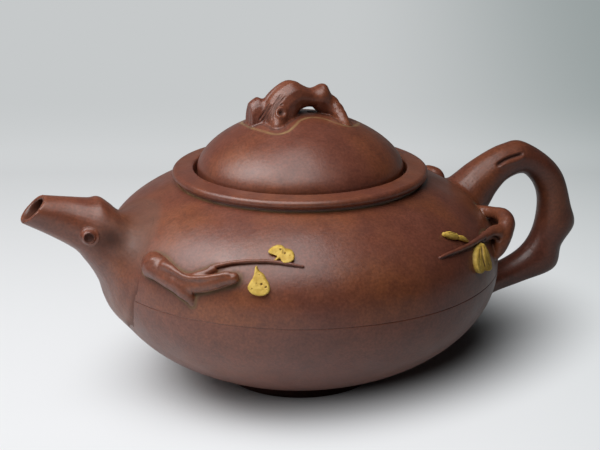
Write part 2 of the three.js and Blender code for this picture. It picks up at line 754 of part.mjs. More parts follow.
function rearBranchForm(grow = 0) {
  const options = { steps: 2, sides: 10, grow };
  return [REAR_LOOP, REAR_BURL, REAR_SPUR]
    .map((rows) => wallLimb(rows, options))
    .reduce((whole, limb) => whole.add(limb));
}

const twigOptions = { steps: 2, sides: 7 };

function frontTwig() {
  return wallLimb(FRONT_TWIG, twigOptions).subtract(bodyCutter).subtract(frontBranchForm(LUTE));
}

function rearTwig() {
  return wallLimb(REAR_TWIG, twigOptions).subtract(bodyCutter).subtract(rearBranchForm(LUTE));
}

/** A yellow piece is laid on after the twig, so the twig's form cuts it. */
function clearOfTwig(piece, twigRows) {
  return piece.subtract(wallLimb(twigRows, { ...twigOptions, grow: LUTE })).subtract(bodyCutter);
}

function frontBud() {
  const bud = FRONT_BUD_LOBES.map((lobe) => wallPad(lobe))
    .reduce((whole, lobe) => whole.add(lobe))
    .add(wallLimb(FRONT_BUD_STALK, twigOptions));
  return clearOfTwig(bud, FRONT_TWIG);
}

// Pieces of the lid

function lidDome() {
  const flangeInside = FLANGE_RADIUS - FLANGE_WALL;
  const inside = innerSkin(lidCurve, LID_WALL, ([r, z]) => r > 0 && r < flangeInside && z > LID_UNDERSIDE);
  const dome = solid(
    turned([
      [0, LID_APEX - LID_WALL],
      ...inside.toReversed(),
      [flangeInside, LID_UNDERSIDE],
      [LID_RADIUS, LID_UNDERSIDE],
      ...lidCurve,
    ]),
  );
  const hole = new THREE.CylinderGeometry(STEAM_HOLE_RADIUS, STEAM_HOLE_RADIUS, 4 * LID_WALL, 12)
    .rotateX(Math.PI / 2)
    .translate(STEAM_HOLE_PLACE, 0, LID_APEX - LID_WALL);
  return dome.subtract(solid(hole));
}

function lidFlange() {
  const inside = FLANGE_RADIUS - FLANGE_WALL;
  return solid(
    turned([
      [inside, LID_UNDERSIDE - FLANGE_DEPTH],
      [FLANGE_RADIUS, LID_UNDERSIDE - FLANGE_DEPTH],
      [FLANGE_RADIUS, LID_UNDERSIDE],
      [inside, LID_UNDERSIDE],
      [inside, LID_UNDERSIDE - FLANGE_DEPTH],
    ]),
  );
}

function lidKnob() {
  const options = { unit: KNOB_UNIT, steps: 2, sides: 14 };
  const placeStub = (x, above) => placeKnob(x, above).setY(KNOB_STUB_BACK);
  const arch = solid(skin(edgedLimb(KNOB_ARCH, placeKnob, options)));
  const stub = solid(skin(edgedLimb(KNOB_STUB, placeStub, options)));
  return [KNOB_LEFT_TOE, KNOB_RIGHT_TOE]
    .map((rows) => sideLimb(rows, placeKnob, KNOB_UNIT, { steps: 2, sides: 9 }))
    .reduce((whole, toe) => whole.add(toe), arch.add(stub))
    .subtract(lidCutter);
}

// The assembly

/** A finished solid as a named mesh. */
function piece(name, made, material) {
  const { vertProperties, triVerts } = made.getMesh();
  const geometry = new THREE.BufferGeometry();
  geometry.setAttribute("position", new THREE.BufferAttribute(vertProperties, 3));
  geometry.setIndex(new THREE.BufferAttribute(triVerts, 1));
  geometry.computeVertexNormals();
  const mesh = new THREE.Mesh(geometry, material);
  mesh.name = name;
  return mesh;
}

const pot = new THREE.Group();
pot.add(
  piece("foot_disc", footDisc(), redClay()),
  piece("lower_bowl", lowerBowl(), redClay()),
  piece("upper_shoulder", upperShoulder(), redClay()),
  piece("mouth_collar", mouthCollar(), redClay()),
  piece("lid_ledge", lidLedge(), redClay()),
  piece("spout", spout(), redClay()),
  piece("spout_strainer", strainer(), redClay()),
  piece("spout_twig_stub", spoutStub(), redClay()),
  piece("handle", handleForm().subtract(bodyCutter), redClay()),
  piece("handle_far_stub", handleFarStub(), redClay()),
  piece("front_branch", frontBranchForm().subtract(bodyCutter), redClay()),
  piece("front_twig", frontTwig(), redClay()),
  piece("front_bud", frontBud(), yellowClay()),
  piece("front_drop", clearOfTwig(wallPad(FRONT_DROP), FRONT_TWIG), yellowClay()),
  piece("rear_branch", rearBranchForm().subtract(bodyCutter), redClay()),
  piece("rear_twig", rearTwig(), redClay()),
  piece("rear_bud", clearOfTwig(wallLimb(REAR_BUD, twigOptions), REAR_TWIG), yellowClay()),
  piece("rear_blossom", clearOfTwig(wallPad(REAR_BLOSSOM), REAR_TWIG), yellowClay()),
);

const lid = new THREE.Group();
lid.add(
  piece("lid_dome", lidDome(), redClay()),
  piece("lid_flange", lidFlange(), redClay()),
  piece("lid_knob", lidKnob(), redClay()),
);

const teapot = new THREE.Group();
teapot.add(pot, lid);

export default teapot;
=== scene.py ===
# %% [markdown]
# # An unglazed clay teapot that grows like a flowering branch
#
# The pot is a squat body of fine red stoneware. Its spout, handle and lid knob are modelled as bent
# branches, and two thin twigs with buds of yellow clay lie on the wall. Nothing is glazed, so the eye
# reads the clay itself: soft broad highlights on burnished curves, fine sand, and marks of the hand.
#
# The imported model is the frame for everything here. It holds the real sizes, so the first cell
# loads it.

# %% Load the imported model
import math

import bpy
import numpy as np
import openvdb
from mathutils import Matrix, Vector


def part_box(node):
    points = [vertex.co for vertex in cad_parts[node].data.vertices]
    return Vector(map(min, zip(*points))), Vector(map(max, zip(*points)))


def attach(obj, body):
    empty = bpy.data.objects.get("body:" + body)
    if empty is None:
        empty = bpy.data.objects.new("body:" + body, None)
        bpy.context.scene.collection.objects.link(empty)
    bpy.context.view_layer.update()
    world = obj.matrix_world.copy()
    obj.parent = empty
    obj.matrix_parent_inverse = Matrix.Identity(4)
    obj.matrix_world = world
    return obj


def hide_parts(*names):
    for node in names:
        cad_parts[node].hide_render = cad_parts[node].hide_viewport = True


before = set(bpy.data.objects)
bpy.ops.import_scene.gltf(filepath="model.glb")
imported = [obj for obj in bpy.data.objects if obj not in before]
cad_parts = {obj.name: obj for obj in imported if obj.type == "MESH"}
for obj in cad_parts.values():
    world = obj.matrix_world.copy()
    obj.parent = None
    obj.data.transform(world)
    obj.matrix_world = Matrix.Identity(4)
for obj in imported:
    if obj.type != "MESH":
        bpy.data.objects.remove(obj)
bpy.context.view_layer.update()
print("nodes in the frame:", len(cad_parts))

# %% [markdown]
# ## Sizes
#
# Clay is worked in millimetres, so every size below is in millimetres and a mesh is turned to metres
# only when it is made. The main sizes come from the frame's own pieces. The rest are the walls,
# edges and gaps that a potter would measure with a caliper.

# %% Sizes from the frame
MM = 0.001


def low_of(node):
    """A node's lowest corner, in millimetres."""
    return np.array(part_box(node)[0]) / MM


def high_of(node):
    """A node's highest corner, in millimetres."""
    return np.array(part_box(node)[1]) / MM


BELLY_RADIUS = high_of("upper_shoulder")[0]
SEAM_HEIGHT = high_of("lower_bowl")[2]
FOOT_RADIUS, _, FOOT_HEIGHT = high_of("foot_disc")
SEAT_HEIGHT = high_of("upper_shoulder")[2]
COLLAR_RADIUS, _, COLLAR_TOP = high_of("mouth_collar")
LEDGE_OUTSIDE = high_of("lid_ledge")[0]
LEDGE_BOTTOM = low_of("lid_ledge")[2]
LID_RADIUS, _, LID_APEX = high_of("lid_dome")
LID_UNDERSIDE = low_of("lid_dome")[2]
FLANGE_RADIUS = high_of("lid_flange")[0]
FLANGE_BOTTOM = low_of("lid_flange")[2]
print(f"belly {2 * BELLY_RADIUS:.0f} mm across, seam at {SEAM_HEIGHT:.1f} mm, apex at {LID_APEX:.1f} mm")

# %% Walls, edges and gaps
BODY_WALL = 3.2
BEAD_THICKNESS = 2.9
BEAD_OVERHANG = 1.7
COLLAR_FALL = 0.5
MOUTH_RADIUS = 34.6
LEDGE_RADIUS = 30.3
LID_WALL = 3
FLANGE_WALL = 2.4
STEAM_HOLE_RADIUS = 1.25
STEAM_HOLE_PLACE = 3.5
STRAINER_OPENING = 9.5
STRAINER_ABOVE = 10.6
SHOULDER_POWERS = (2.19, 2.52)
BOWL_POWERS = (1.553, 2.086)
LID_POWERS = (1.88, 1.61)
NECK_RADIUS = COLLAR_RADIUS - BEAD_OVERHANG

# %% [markdown]
# ## The body's curve
#
# The belly isn't part of a circle. A superellipse, whose two powers set how full the curve is,
# matches the shoulder above the seam, and a second one matches the bowl under it. Each is stretched
# so that it ends exactly at the neck or at the foot's edge.

# %% Full curves
def crown(share, powers):
    """The height of a full curve over its base, at a share of its radius."""
    return (1 - np.minimum(share, 1) ** powers[0]) ** (1 / powers[1])


def crown_curve(radius, rise, powers, end_radius, steps):
    """Points of radius and rise along a full curve, from its widest radius to a smaller one."""
    end_angle = math.acos((end_radius / radius) ** (powers[0] / 2))
    angle = np.linspace(0, end_angle, steps + 1)
    out, up = radius * np.cos(angle) ** (2 / powers[0]), rise * np.sin(angle) ** (2 / powers[1])
    return np.stack([out, up], 1)


SHOULDER_RISE = (SEAT_HEIGHT - SEAM_HEIGHT) / crown(NECK_RADIUS / BELLY_RADIUS, SHOULDER_POWERS)
BOWL_DEPTH = (SEAM_HEIGHT - FOOT_HEIGHT) / crown(FOOT_RADIUS / BELLY_RADIUS, BOWL_POWERS)
LID_RISE = LID_APEX - COLLAR_TOP
PROFILE_STEPS = 90

bowl_curve = crown_curve(BELLY_RADIUS, -BOWL_DEPTH, BOWL_POWERS, FOOT_RADIUS, PROFILE_STEPS)[::-1]
bowl_curve[:, 1] += SEAM_HEIGHT
shoulder_curve = crown_curve(BELLY_RADIUS, SHOULDER_RISE, SHOULDER_POWERS, NECK_RADIUS, PROFILE_STEPS)
shoulder_curve[:, 1] += SEAM_HEIGHT
lid_curve = crown_curve(LID_RADIUS, LID_RISE, LID_POWERS, 0, PROFILE_STEPS)
lid_curve[:, 1] += COLLAR_TOP
body_curve = np.concatenate([bowl_curve[:-1], shoulder_curve])
print(f"the body's curve has {len(body_curve)} points, the lid's has {len(lid_curve)}")


# %% Places on the wall
def wall_radius(above):
    """The body's outside radius at a height above the seam, which is negative under it."""
    above = np.asarray(above, float)
    # With its powers swapped, a full curve gives the radius at a share of the height.
    up = crown(np.maximum(above / SHOULDER_RISE, 0), SHOULDER_POWERS[::-1])
    down = crown(np.maximum(-above / BOWL_DEPTH, 0), BOWL_POWERS[::-1])
    return BELLY_RADIUS * np.where(above > 0, up, down)


def wall_lean(above, probe=0.05):
    """How far the wall's outward direction leans up from level, in radians."""
    return math.atan2(wall_radius(above - probe) - wall_radius(above + probe), 2 * probe)


def around(bearing, reach, above):
    """A point by its bearing in degrees, its distance past the belly and its height over the seam."""
    angle = math.radians(bearing)
    radius = BELLY_RADIUS + reach
    return np.array([radius * math.cos(angle), radius * math.sin(angle), SEAM_HEIGHT + above])


def wall_normal(bearing, above):
    """The wall's outward direction at a bearing and a height over the seam."""
    angle, lean = math.radians(bearing), wall_lean(above)
    return np.array([math.cos(lean) * math.cos(angle), math.cos(lean) * math.sin(angle), math.sin(lean)])


def wall_point(bearing, above, out=0.0):
    """A point at a distance out from the wall."""
    return around(bearing, wall_radius(above) - BELLY_RADIUS, above) + out * wall_normal(bearing, above)


# %% [markdown]
# ## The hand in the clay
#
# A body that is paddled over a board and scraped by hand is never quite round. A few long waves of
# about a tenth of a millimetre, added together, give the highlights the slight drift that tells the
# eye that no machine made it. The same waves are used for the wall and for what lies on it, so that
# they stay together.

# %% Waves of the hand
HAND_WAVES = (  # direction, length in millimetres, start
    ((0.6, 0.5, 0.62), 41, 0.3),
    ((-0.7, 0.6, 0.38), 33, 2.1),
    ((0.2, -0.8, 0.56), 27, 4.4),
    ((0.9, 0.1, -0.42), 52, 1.2),
    ((-0.3, -0.4, 0.87), 23, 5.2),
)
HAND_DEPTH = 0.045


def hand(x, y, z):
    """How far the worked surface lies off its true curve, in millimetres."""
    total = 0
    for (dx, dy, dz), length, start in HAND_WAVES:
        total = total + np.sin((dx * x + dy * y + dz * z) * 2 * math.pi / length + start)
    return HAND_DEPTH * total


# %% Ripples in the clay
def blended(table, whole, part):
    """A table's values mixed between the eight entries round each place."""
    total = 0
    for corner in np.ndindex(2, 2, 2):
        index = (whole + corner) % table.shape
        weight = np.prod(np.where(corner, part, 1 - part), axis=1)
        total = total + weight * table[index[:, 0], index[:, 1], index[:, 2]]
    return total


def ripple(points, size, seed):
    """Smooth random heights from -1 to 1 that change over a size in millimetres."""
    table = np.random.default_rng(seed).uniform(-1, 1, (32, 32, 32))
    place = np.asarray(points) / size
    whole = np.floor(place).astype(int)
    part = place - whole
    return blended(table, whole, part * part * (3 - 2 * part))


# %% [markdown]
# ## From points to a piece
#
# Every piece of clay ends as a closed mesh that moves with the pot or with the lid. One function
# makes it: it turns millimetres to metres, shades the skin smoothly except over hard edges, and
# hides the frame's node that the piece stands for.

# %% Make a piece
SHARP_ANGLE = math.radians(50)
clays = {}
made_pieces = []


def new_object(name, points, faces):
    """An object with a mesh of points in metres and faces, put in the scene."""
    mesh = bpy.data.meshes.new(name)
    mesh.from_pydata(np.asarray(points).tolist(), [], [list(map(int, f)) for f in faces])
    mesh.update()
    thing = bpy.data.objects.new(name, mesh)
    bpy.context.scene.collection.objects.link(thing)
    return thing


def make_piece(node, points, faces, slot="red_clay", clay="burnished", **marks):
    """A closed mesh of clay that stands for a CAD node. Marks are numbers kept for each point."""
    piece = new_object(node + "_clay", np.asarray(points) * MM, faces)
    for mark, values in marks.items():
        kept = piece.data.attributes.new(mark, "FLOAT", "POINT").data
        kept.foreach_set("value", values.astype(np.float32))
    piece.data.shade_smooth()
    piece.data.set_sharp_from_angle(angle=SHARP_ANGLE)
    # Only the lid's pieces have the lid's clay, and they ride with it.
    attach(piece, "lid" if slot == "lid_clay" else "pot")
    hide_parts(node)
    made_pieces.append((piece, clay))
    print(f"{piece.name}: {len(piece.data.polygons)} faces")
    return piece


# %% [markdown]
# ## Turned shapes
#
# The body's halves, collar, ledge, lid, flange and foot are round, so each is an outline turned
# about the upright axis. A potter wipes every raw edge with a damp leather, so corners get a small
# round before the outline is turned.

# %% Outlines with wiped edges
TURNS = 288


def unit(rows):
    """Rows of directions, each made one long."""
    return rows / np.linalg.norm(rows, axis=1, keepdims=True)


def wiped(outline, radius, steps=4):
    """Rounds the corners of a closed outline. Radius is one number, or one for each corner."""
    outline = np.asarray(outline, float)
    radii = np.broadcast_to(radius, len(outline))
    result = []
    for i, (corner, r) in enumerate(zip(outline, radii)):
        before, after = outline[i - 1] - corner, outline[(i + 1) % len(outline)] - corner
        reach_before, reach_after = np.linalg.norm(before), np.linalg.norm(after)
        cosine = before @ after / max(reach_before * reach_after, 1e-9)
        if r == 0 or cosine < -0.995:
            result.append(corner)
            continue
        half = math.acos(np.clip(cosine, -1, 1)) / 2
        cut = min(r / math.tan(half), 0.45 * reach_before, 0.45 * reach_after)
        start, end = corner + before / reach_before * cut, corner + after / reach_after * cut
        for share in np.linspace(0, 1, steps + 1):
            result.append((1 - share) ** 2 * start + 2 * share * (1 - share) * corner + share**2 * end)
    return np.array(result)


def turned(outline, turns=TURNS):
    """Turns an outline of radius and height about the upright axis, into points and faces."""
    outline = np.asarray(outline, float)
    poles = outline[0][0] < 1e-6
    rows = outline[1:-1] if poles else outline
    angle = np.linspace(0, 2 * math.pi, turns, endpoint=False)
    rings = [np.stack([r * np.cos(angle), r * np.sin(angle), np.full(turns, z)], 1) for r, z in rows]
    points = np.concatenate(rings)
    here = np.arange(turns)
    then = (here + 1) % turns
    faces = []
    pairs = [(i, i + 1) for i in range(len(rows) - 1)] + ([] if poles else [(len(rows) - 1, 0)])
    for a, b in pairs:
        corners = [a * turns + here, a * turns + then, b * turns + then, b * turns + here]
        faces += np.stack(corners, 1).tolist()
    if poles:
        for row, pole, flip in ((0, outline[0], True), (len(rows) - 1, outline[-1], False)):
            middle = len(points)
            points = np.concatenate([points, [[0, 0, pole[1]]]])
            ring = row * turns
            order = (then, here) if flip else (here, then)
            faces += np.stack([np.full(turns, middle), ring + order[0], ring + order[1]], 1).tolist()
    return points, faces if outward(points, faces) else [f[::-1] for f in faces]


def outward(points, faces):
    """True if the faces of a closed mesh look out."""
    volume = 0
    for corners in (3, 4):
        some = np.array([f for f in faces if len(f) == corners], int)
        for k in range(1, corners - 1) if len(some) else ():
            a, b, c = points[some[:, 0]], points[some[:, k]], points[some[:, k + 1]]
            volume += (a * np.cross(b, c)).sum()
    return volume > 0


def offset_curve(curve, distance):
    """Moves a curve sideways, to the left of its direction."""
    step = unit(np.gradient(curve, axis=0))
    return curve + distance * np.stack([-step[:, 1], step[:, 0]], 1)


# %% [markdown]
# ## Modelled shapes
#
# Spout, handle, knob and twigs are modelled by hand, and luted to the wall with slip that is
# smoothed into a soft fillet. Joining meshes gives hard creases. Distances give the fillet for
# nothing: on a lattice of points, each shape is stored as the distance to its skin, negative inside,
# and two shapes melt into each other through a smooth minimum. The skin is then drawn where the
# distance is zero.

# %% Distances on a lattice
class Block:
    """A lattice round a piece. A shape on it is an array of distances from the shape's skin."""

    def __init__(self, low, high, step):
        self.step = step
        self.first = np.floor(np.asarray(low) / step).astype(int)
        self.count = np.ceil(np.asarray(high) / step).astype(int) - self.first + 1
        self.corner = tuple(int(n) for n in self.first)
        lines = [(first + np.arange(n)) * step for first, n in zip(self.first, self.count)]
        self.x, self.y, self.z = np.meshgrid(*lines, indexing="ij", sparse=True)

    def skinned(self, rings, band):
        """Distances from the closed skin over rings of points, capped at the band."""
        points, quads, triangles = skin(rings)
        grid = openvdb.FloatGrid.createLevelSetFromPolygons(
            points.astype(np.float32),
            triangles=triangles.astype(np.uint32),
            quads=quads.astype(np.uint32),
            transform=openvdb.createLinearTransform(voxelSize=self.step),
            halfWidth=band / self.step,
        )
        field = np.empty(self.count, np.float32)
        grid.copyToArray(field, ijk=self.corner)
        return field

    def read(self, field, points):
        """A field's values at points, smooth between the lattice's own."""
        place = np.clip(points / self.step - self.first, 0, self.count - 1.001)
        whole = place.astype(int)
        return blended(field, whole, place - whole)

    def covers(self, points):
        """Which points lie inside the lattice."""
        place = points / self.step - self.first
        return ((place >= 0) & (place <= self.count - 1)).all(axis=1)

    def slope(self, field, points):
        """The direction in which a field grows fastest at points, with its steepness."""
        probe = 0.6 * self.step
        steps = [
            self.read(field, points + probe * axis) - self.read(field, points - probe * axis)
            for axis in np.eye(3)
        ]
        return np.stack(steps, 1) / (2 * probe)


def skin(rings):
    """Points, quads and end triangles over rings of points."""
    rings = np.asarray(rings)
    count, sides, _ = rings.shape
    here = np.arange(sides)
    then = (here + 1) % sides
    quads = np.concatenate([
        np.stack([row + here, row + then, row + sides + then, row + sides + here], 1)
        for row in range(0, (count - 1) * sides, sides)
    ])
    points = np.concatenate([rings.reshape(-1, 3), [rings[0].mean(0)], [rings[-1].mean(0)]])
    first, last = count * sides, count * sides + 1
    start = np.stack([np.full(sides, first), then, here], 1)
    end = np.stack([np.full(sides, last), (count - 1) * sides + here, (count - 1) * sides + then], 1)
    return points, quads, np.concatenate([start, end])


# %% Joining and cutting shapes
def melted(a, b, reach):
    """Two shapes joined with a fillet that starts at a reach from both."""
    share = np.clip(0.5 + 0.5 * (b - a) / reach, 0, 1)
    return b * (1 - share) + a * share - reach * share * (1 - share)


def all_melted(shapes, reach):
    """Shapes joined one after another, with a fillet at each joint."""
    whole = shapes[0]
    for shape in shapes[1:]:
        whole = melted(whole, shape, reach)
    return whole


def carved(a, b, reach):
    """The first shape less the second, with a wiped edge."""
    return -melted(-a, b, reach)


def cut_off(a, limit):
    """The part of a shape where a limit is negative, with a hard edge."""
    return np.maximum(a, limit)


# %% Drawing the skin
def relaxed(points, pairs, counts):
    """Moves each point to the mean of its neighbours."""
    total = np.stack([
        np.bincount(pairs[:, 0], points[pairs[:, 1], axis], len(points))
        + np.bincount(pairs[:, 1], points[pairs[:, 0], axis], len(points))
        for axis in range(3)
    ], 1)
    return total / counts[:, None]


def drawn(block, field, rounds=3):
    """The skin of a shape on a lattice, as points, faces and outward directions."""
    field = field.astype(np.float32)
    for axis in range(3):
        for end in (0, -1):
            edge = [slice(None)] * 3
            edge[axis] = end
            field[tuple(edge)] = np.maximum(field[tuple(edge)], block.step)
    grid = openvdb.FloatGrid(4 * block.step)
    grid.copyFromArray(np.clip(field, -3 * block.step, 3 * block.step), ijk=block.corner)
    grid.transform = openvdb.createLinearTransform(voxelSize=block.step)
    points, quads = grid.convertToQuads()
    points, quads = largest_part(points.astype(float), quads.astype(int))
    pairs = np.concatenate([quads[:, [0, 1]], quads[:, [1, 2]], quads[:, [2, 3]], quads[:, [3, 0]]])
    pairs = np.unique(np.sort(pairs, 1), axis=0)
    counts = np.bincount(pairs.ravel(), minlength=len(points))
    for _ in range(rounds):
        points = 0.5 * points + 0.5 * relaxed(points, pairs, counts)
        slope = block.slope(field, points)
        steep = np.maximum((slope**2).sum(1), 0.25)
        move = -(block.read(field, points) / steep)[:, None] * slope
        reach = np.linalg.norm(move, axis=1, keepdims=True)
        points = points + move * np.minimum(1, block.step / np.maximum(reach, 1e-9))
    slope = block.slope(field, points)
    normals = slope / np.maximum(np.linalg.norm(slope, axis=1, keepdims=True), 1e-9)
    faces = quads.tolist()
    return points, faces if outward(points, faces) else [f[::-1] for f in faces], normals


def largest_part(points, quads):
    """Keeps the largest connected part of a mesh, without stray specks."""
    label = np.arange(len(points))
    while True:
        lowest = label[quads].min(axis=1)
        following = label.copy()
        np.minimum.at(following, quads.ravel(), np.repeat(lowest, 4))
        following = following[following]
        if (following == label).all():
            break
        label = following
    names, sizes = np.unique(label, return_counts=True)
    keep = label == names[sizes.argmax()]
    place = np.cumsum(keep) - 1
    return points[keep], place[quads[keep[quads].all(axis=1)]]


# %% [markdown]
# ## Branches as rows of sections
#
# A branch is drawn as a few rows. From the side, a row gives the branch's lower and upper edge and
# half its thickness across. On the wall, a row gives the bearing, the height over the seam, the
# distance out, and half the thickness along the wall and through it. A smooth curve runs through
# the rows, and the CAD solids use the same rows, so both lie in one place.

# %% Branch curves
def smooth_rows(rows, steps):
    """A smooth curve through rows of numbers, with steps between each two rows."""
    rows = np.asarray(rows, float)
    last = len(rows) - 1
    place = np.linspace(0, last, last * steps + 1)
    i = np.minimum(place.astype(int), last - 1)
    f = (place - i)[:, None]
    a, b, c, d = rows[np.maximum(i - 1, 0)], rows[i], rows[i + 1], rows[np.minimum(i + 2, last)]
    return b + 0.5 * f * (c - a + f * (2 * a - 5 * b + 4 * c - d + f * (3 * (b - c) + d - a)))


class Limb:
    """A branch as sections along it, each with a middle, a direction through it and one across."""

    def __init__(self, middles, deep, wide):
        self.middles, self.deep, self.wide = middles, deep, wide
        self.along = np.concatenate([[0], np.cumsum(np.linalg.norm(np.diff(middles, axis=0), axis=1))])

    def rings(self, sides=40, thinner=None):
        """Rings of points round the sections, thinner by a wall if one is given."""
        wall = 0 if thinner is None else np.asarray(thinner).reshape(-1, 1)
        deep, wide = [
            unit(half) * (np.linalg.norm(half, axis=1, keepdims=True) - wall)
            for half in (self.deep, self.wide)
        ]
        angle = np.linspace(0, 2 * math.pi, sides, endpoint=False)[None, :, None]
        return self.middles[:, None] + np.cos(angle) * deep[:, None] + np.sin(angle) * wide[:, None]

    def straightened(self, points, batch=20000):
        """Points laid out along a straight branch: the distance along it, then two offsets across."""
        nearest = np.concatenate([
            ((points[start:start + batch, None] - self.middles[None]) ** 2).sum(2).argmin(1)
            for start in range(0, len(points), batch)
        ])
        off = points - self.middles[nearest]
        forward = unit(np.gradient(self.middles, axis=0))
        ahead, through, across = [
            (off * unit(direction)[nearest]).sum(1) for direction in (forward, self.deep, self.wide)
        ]
        return np.stack([self.along[nearest] + ahead, through, across], 1)


def side_limb(rows, place, steps=8):
    """A branch between two edges that are drawn from the side, with its wall along it."""
    table = [[*row["low"], *row["top"], row["half"], row.get("wall", 0)] for row in rows]
    table = smooth_rows(table, steps)
    low = np.array([place(x, z) for x, z in table[:, 0:2]])
    top = np.array([place(x, z) for x, z in table[:, 2:4]])
    return Limb((low + top) / 2, (top - low) / 2, table[:, 4:5] * (0, 1, 0)), table[:, 5]


CAP_ANGLES = (25, 45, 65, 85)


def round_limb(middles, faces, wide, deep, steps):
    """A branch along points, with rounded ends."""
    table = smooth_rows(np.column_stack([middles, faces, wide, deep]), steps)
    middles, faces, wide, deep = table[:, 0:3], table[:, 3:6], table[:, 6], table[:, 7]
    along = unit(np.gradient(middles, axis=0))
    faces = unit(faces - (faces * along).sum(1)[:, None] * along)
    across = np.cross(along, faces)
    caps = []
    for i, sign, angles in ((0, -1, CAP_ANGLES[::-1]), (-1, 1, CAP_ANGLES)):
        angle = np.radians(angles)[:, None]
        caps.append((
            middles[i] + sign * np.sin(angle) * min(wide[i], deep[i]) * along[i],
            np.cos(angle) * deep[i] * faces[i],
            np.cos(angle) * wide[i] * across[i],
        ))
    body = (middles, deep[:, None] * faces, wide[:, None] * across)
    return Limb(*(np.concatenate(parts) for parts in zip(caps[0], body, caps[1])))


def wall_limb(rows, steps=8):
    """A branch that lies on the wall."""
    middles = [wall_point(bearing, above, out) for bearing, above, out, _, _ in rows]
    faces = [wall_normal(bearing, above) for bearing, above, _, _, _ in rows]
    return round_limb(middles, faces, [row[3] for row in rows], [row[4] for row in rows], steps)


def reaching_limb(rows, place, steps=8):
    """A branch that reaches to the near side, from rows of place, that distance, height and radius."""
    middles = [place(x, above) - (0, side, 0) for x, side, above, _ in rows]
    radii = [row[3] for row in rows]
    return round_limb(middles, [[0, 0, 1]] * len(rows), radii, radii, steps)


def block_round(limbs, margin, step):
    """A lattice that holds limbs with a margin all round."""
    points = np.concatenate([limb.rings(12).reshape(-1, 3) for limb in limbs])
    return Block(points.min(0) - margin, points.max(0) + margin, step)


# %% [markdown]
# ## Distance from the wall
#
# A branch's fillet needs the distance from the wall it lies on. The wall is round, so its distance
# depends only on a point's radius and height. It is worked out once on a flat table and read from
# there, less the waves of the hand.

# %% Flat distances
def outline_distance(points, outline):
    """Distances in the plane from a closed outline, negative inside."""
    outline = np.asarray(outline, float)
    nearest = np.full(len(points), np.inf)
    inside = np.zeros(len(points), bool)
    for a, b in zip(outline, np.roll(outline, -1, axis=0)):
        side = b - a
        length = side @ side
        if length == 0:
            continue
        share = np.clip(((points - a) @ side) / length, 0, 1)
        off = points - a - share[:, None] * side
        nearest = np.minimum(nearest, (off**2).sum(1))
        crosses = (a[1] > points[:, 1]) != (b[1] > points[:, 1])
        if side[1] != 0:
            inside ^= crosses & (points[:, 0] < a[0] + (points[:, 1] - a[1]) * side[0] / side[1])
    return np.where(inside, -1, 1) * np.sqrt(nearest)


class RoundForm:
    """Distances from a form that was turned about the upright axis."""

    STEP = 0.25

    def __init__(self, curve, low, high, widest):
        outline = np.concatenate([[[0, curve[0][1]]], curve, [[0, curve[-1][1]]]])
        self.low = low
        self.radii = np.arange(0, widest, self.STEP)
        self.heights = np.arange(low, high, self.STEP)
        radius, height = np.meshgrid(self.radii, self.heights, indexing="ij")
        flat = outline_distance(np.stack([radius.ravel(), height.ravel()], 1), outline)
        self.table = flat.reshape(radius.shape)

    def __call__(self, x, y, z):
        radius = np.sqrt(x * x + y * y) / self.STEP
        height = (z - self.low) / self.STEP
        radius, height = np.broadcast_arrays(
            np.clip(radius, 0, len(self.radii) - 1.001), np.clip(height, 0, len(self.heights) - 1.001)
        )
        i, j = radius.astype(int), height.astype(int)
        f, g = radius - i, height - j
        t = self.table
        inner = (1 - g) * t[i, j] + g * t[i, j + 1]
        outer = (1 - g) * t[i + 1, j] + g * t[i + 1, j + 1]
        flat = (1 - f) * inner + f * outer
        return flat - hand(x, y, z)


wall_distance = RoundForm(body_curve, -6, 84, 112)
lid_distance = RoundForm(np.concatenate([[[LID_RADIUS, LID_UNDERSIDE]], lid_curve]), 60, 106, 48)
print("wall distance at the belly:", round(float(wall_distance(BELLY_RADIUS, 0.0, SEAM_HEIGHT)), 3))

# %% [markdown]
# ## Marks of the tool
#
# Bark grooves, cut scars and worm holes are scored into leather-hard clay with a bamboo point. Each
# is a small move of the skin along its own outward direction: a pit goes in round a point, and a
# score goes in along a path, with a raised lip where the clay is pushed aside. Marks on the knob,
# spout and handle are laid out on a drawing board that faces the decorated side.

# %% Pits and scores
BOARD = np.array([[0.9397, -0.342, 0], [0.1021, 0.2804, 0.9544]])  # its right and its up
BOARD_FACE = np.array([-0.3264, -0.8969, 0.2984])


def seen(points):
    """Places on a drawing board that faces the decorated side from a little above."""
    return np.asarray(points) @ BOARD.T


def facing(normals):
    """1 where the skin faces the board, 0 where it turns away."""
    return np.clip(2.5 * (normals @ BOARD_FACE) - 0.2, 0, 1)


def pit(points, place, radius, depth, lip=0.0):
    """The move of the skin for a round hole, negative inwards."""
    away = np.linalg.norm(points - np.asarray(place), axis=1) / radius
    return -depth * np.exp(-(away**2)) + lip * np.exp(-(((away - 1.45) / 0.45) ** 2))


def away_from(points, path):
    """The distance from a path to each point, and the share of the path at which it is nearest."""
    best = np.full(len(points), np.inf)
    along = np.zeros(len(points))
    count = len(path) - 1
    for i, (a, b) in enumerate(zip(path[:-1], path[1:])):
        side = b - a
        share = np.clip(((points - a) @ side) / (side @ side), 0, 1)
        away = np.linalg.norm(points - a - share[:, None] * side, axis=1)
        nearer = away < best
        best = np.where(nearer, away, best)
        along = np.where(nearer, (i + share) / count, along)
    return best, along


def score(points, path, width, depth, lip=0.0, fade=0.15):
    """The move of the skin for a scored line along a path, shallow at both ends."""
    best, along = away_from(points, smooth_rows(path, 6))
    away = best / width
    ends = np.clip(np.minimum(along, 1 - along) / fade, 0, 1)
    return ends * (-depth * np.exp(-(away**2)) + lip * np.exp(-(((away - 1.5) / 0.5) ** 2)))


# %% [markdown]
# ## Pieces that melt into what carries them
#
# A modelled piece is kept where it is inside its own clay or in the fillet, and where it is less
# than half a millimetre under the wall. The thin rim of the fillet dives just under the wall's skin,
# so no step shows.

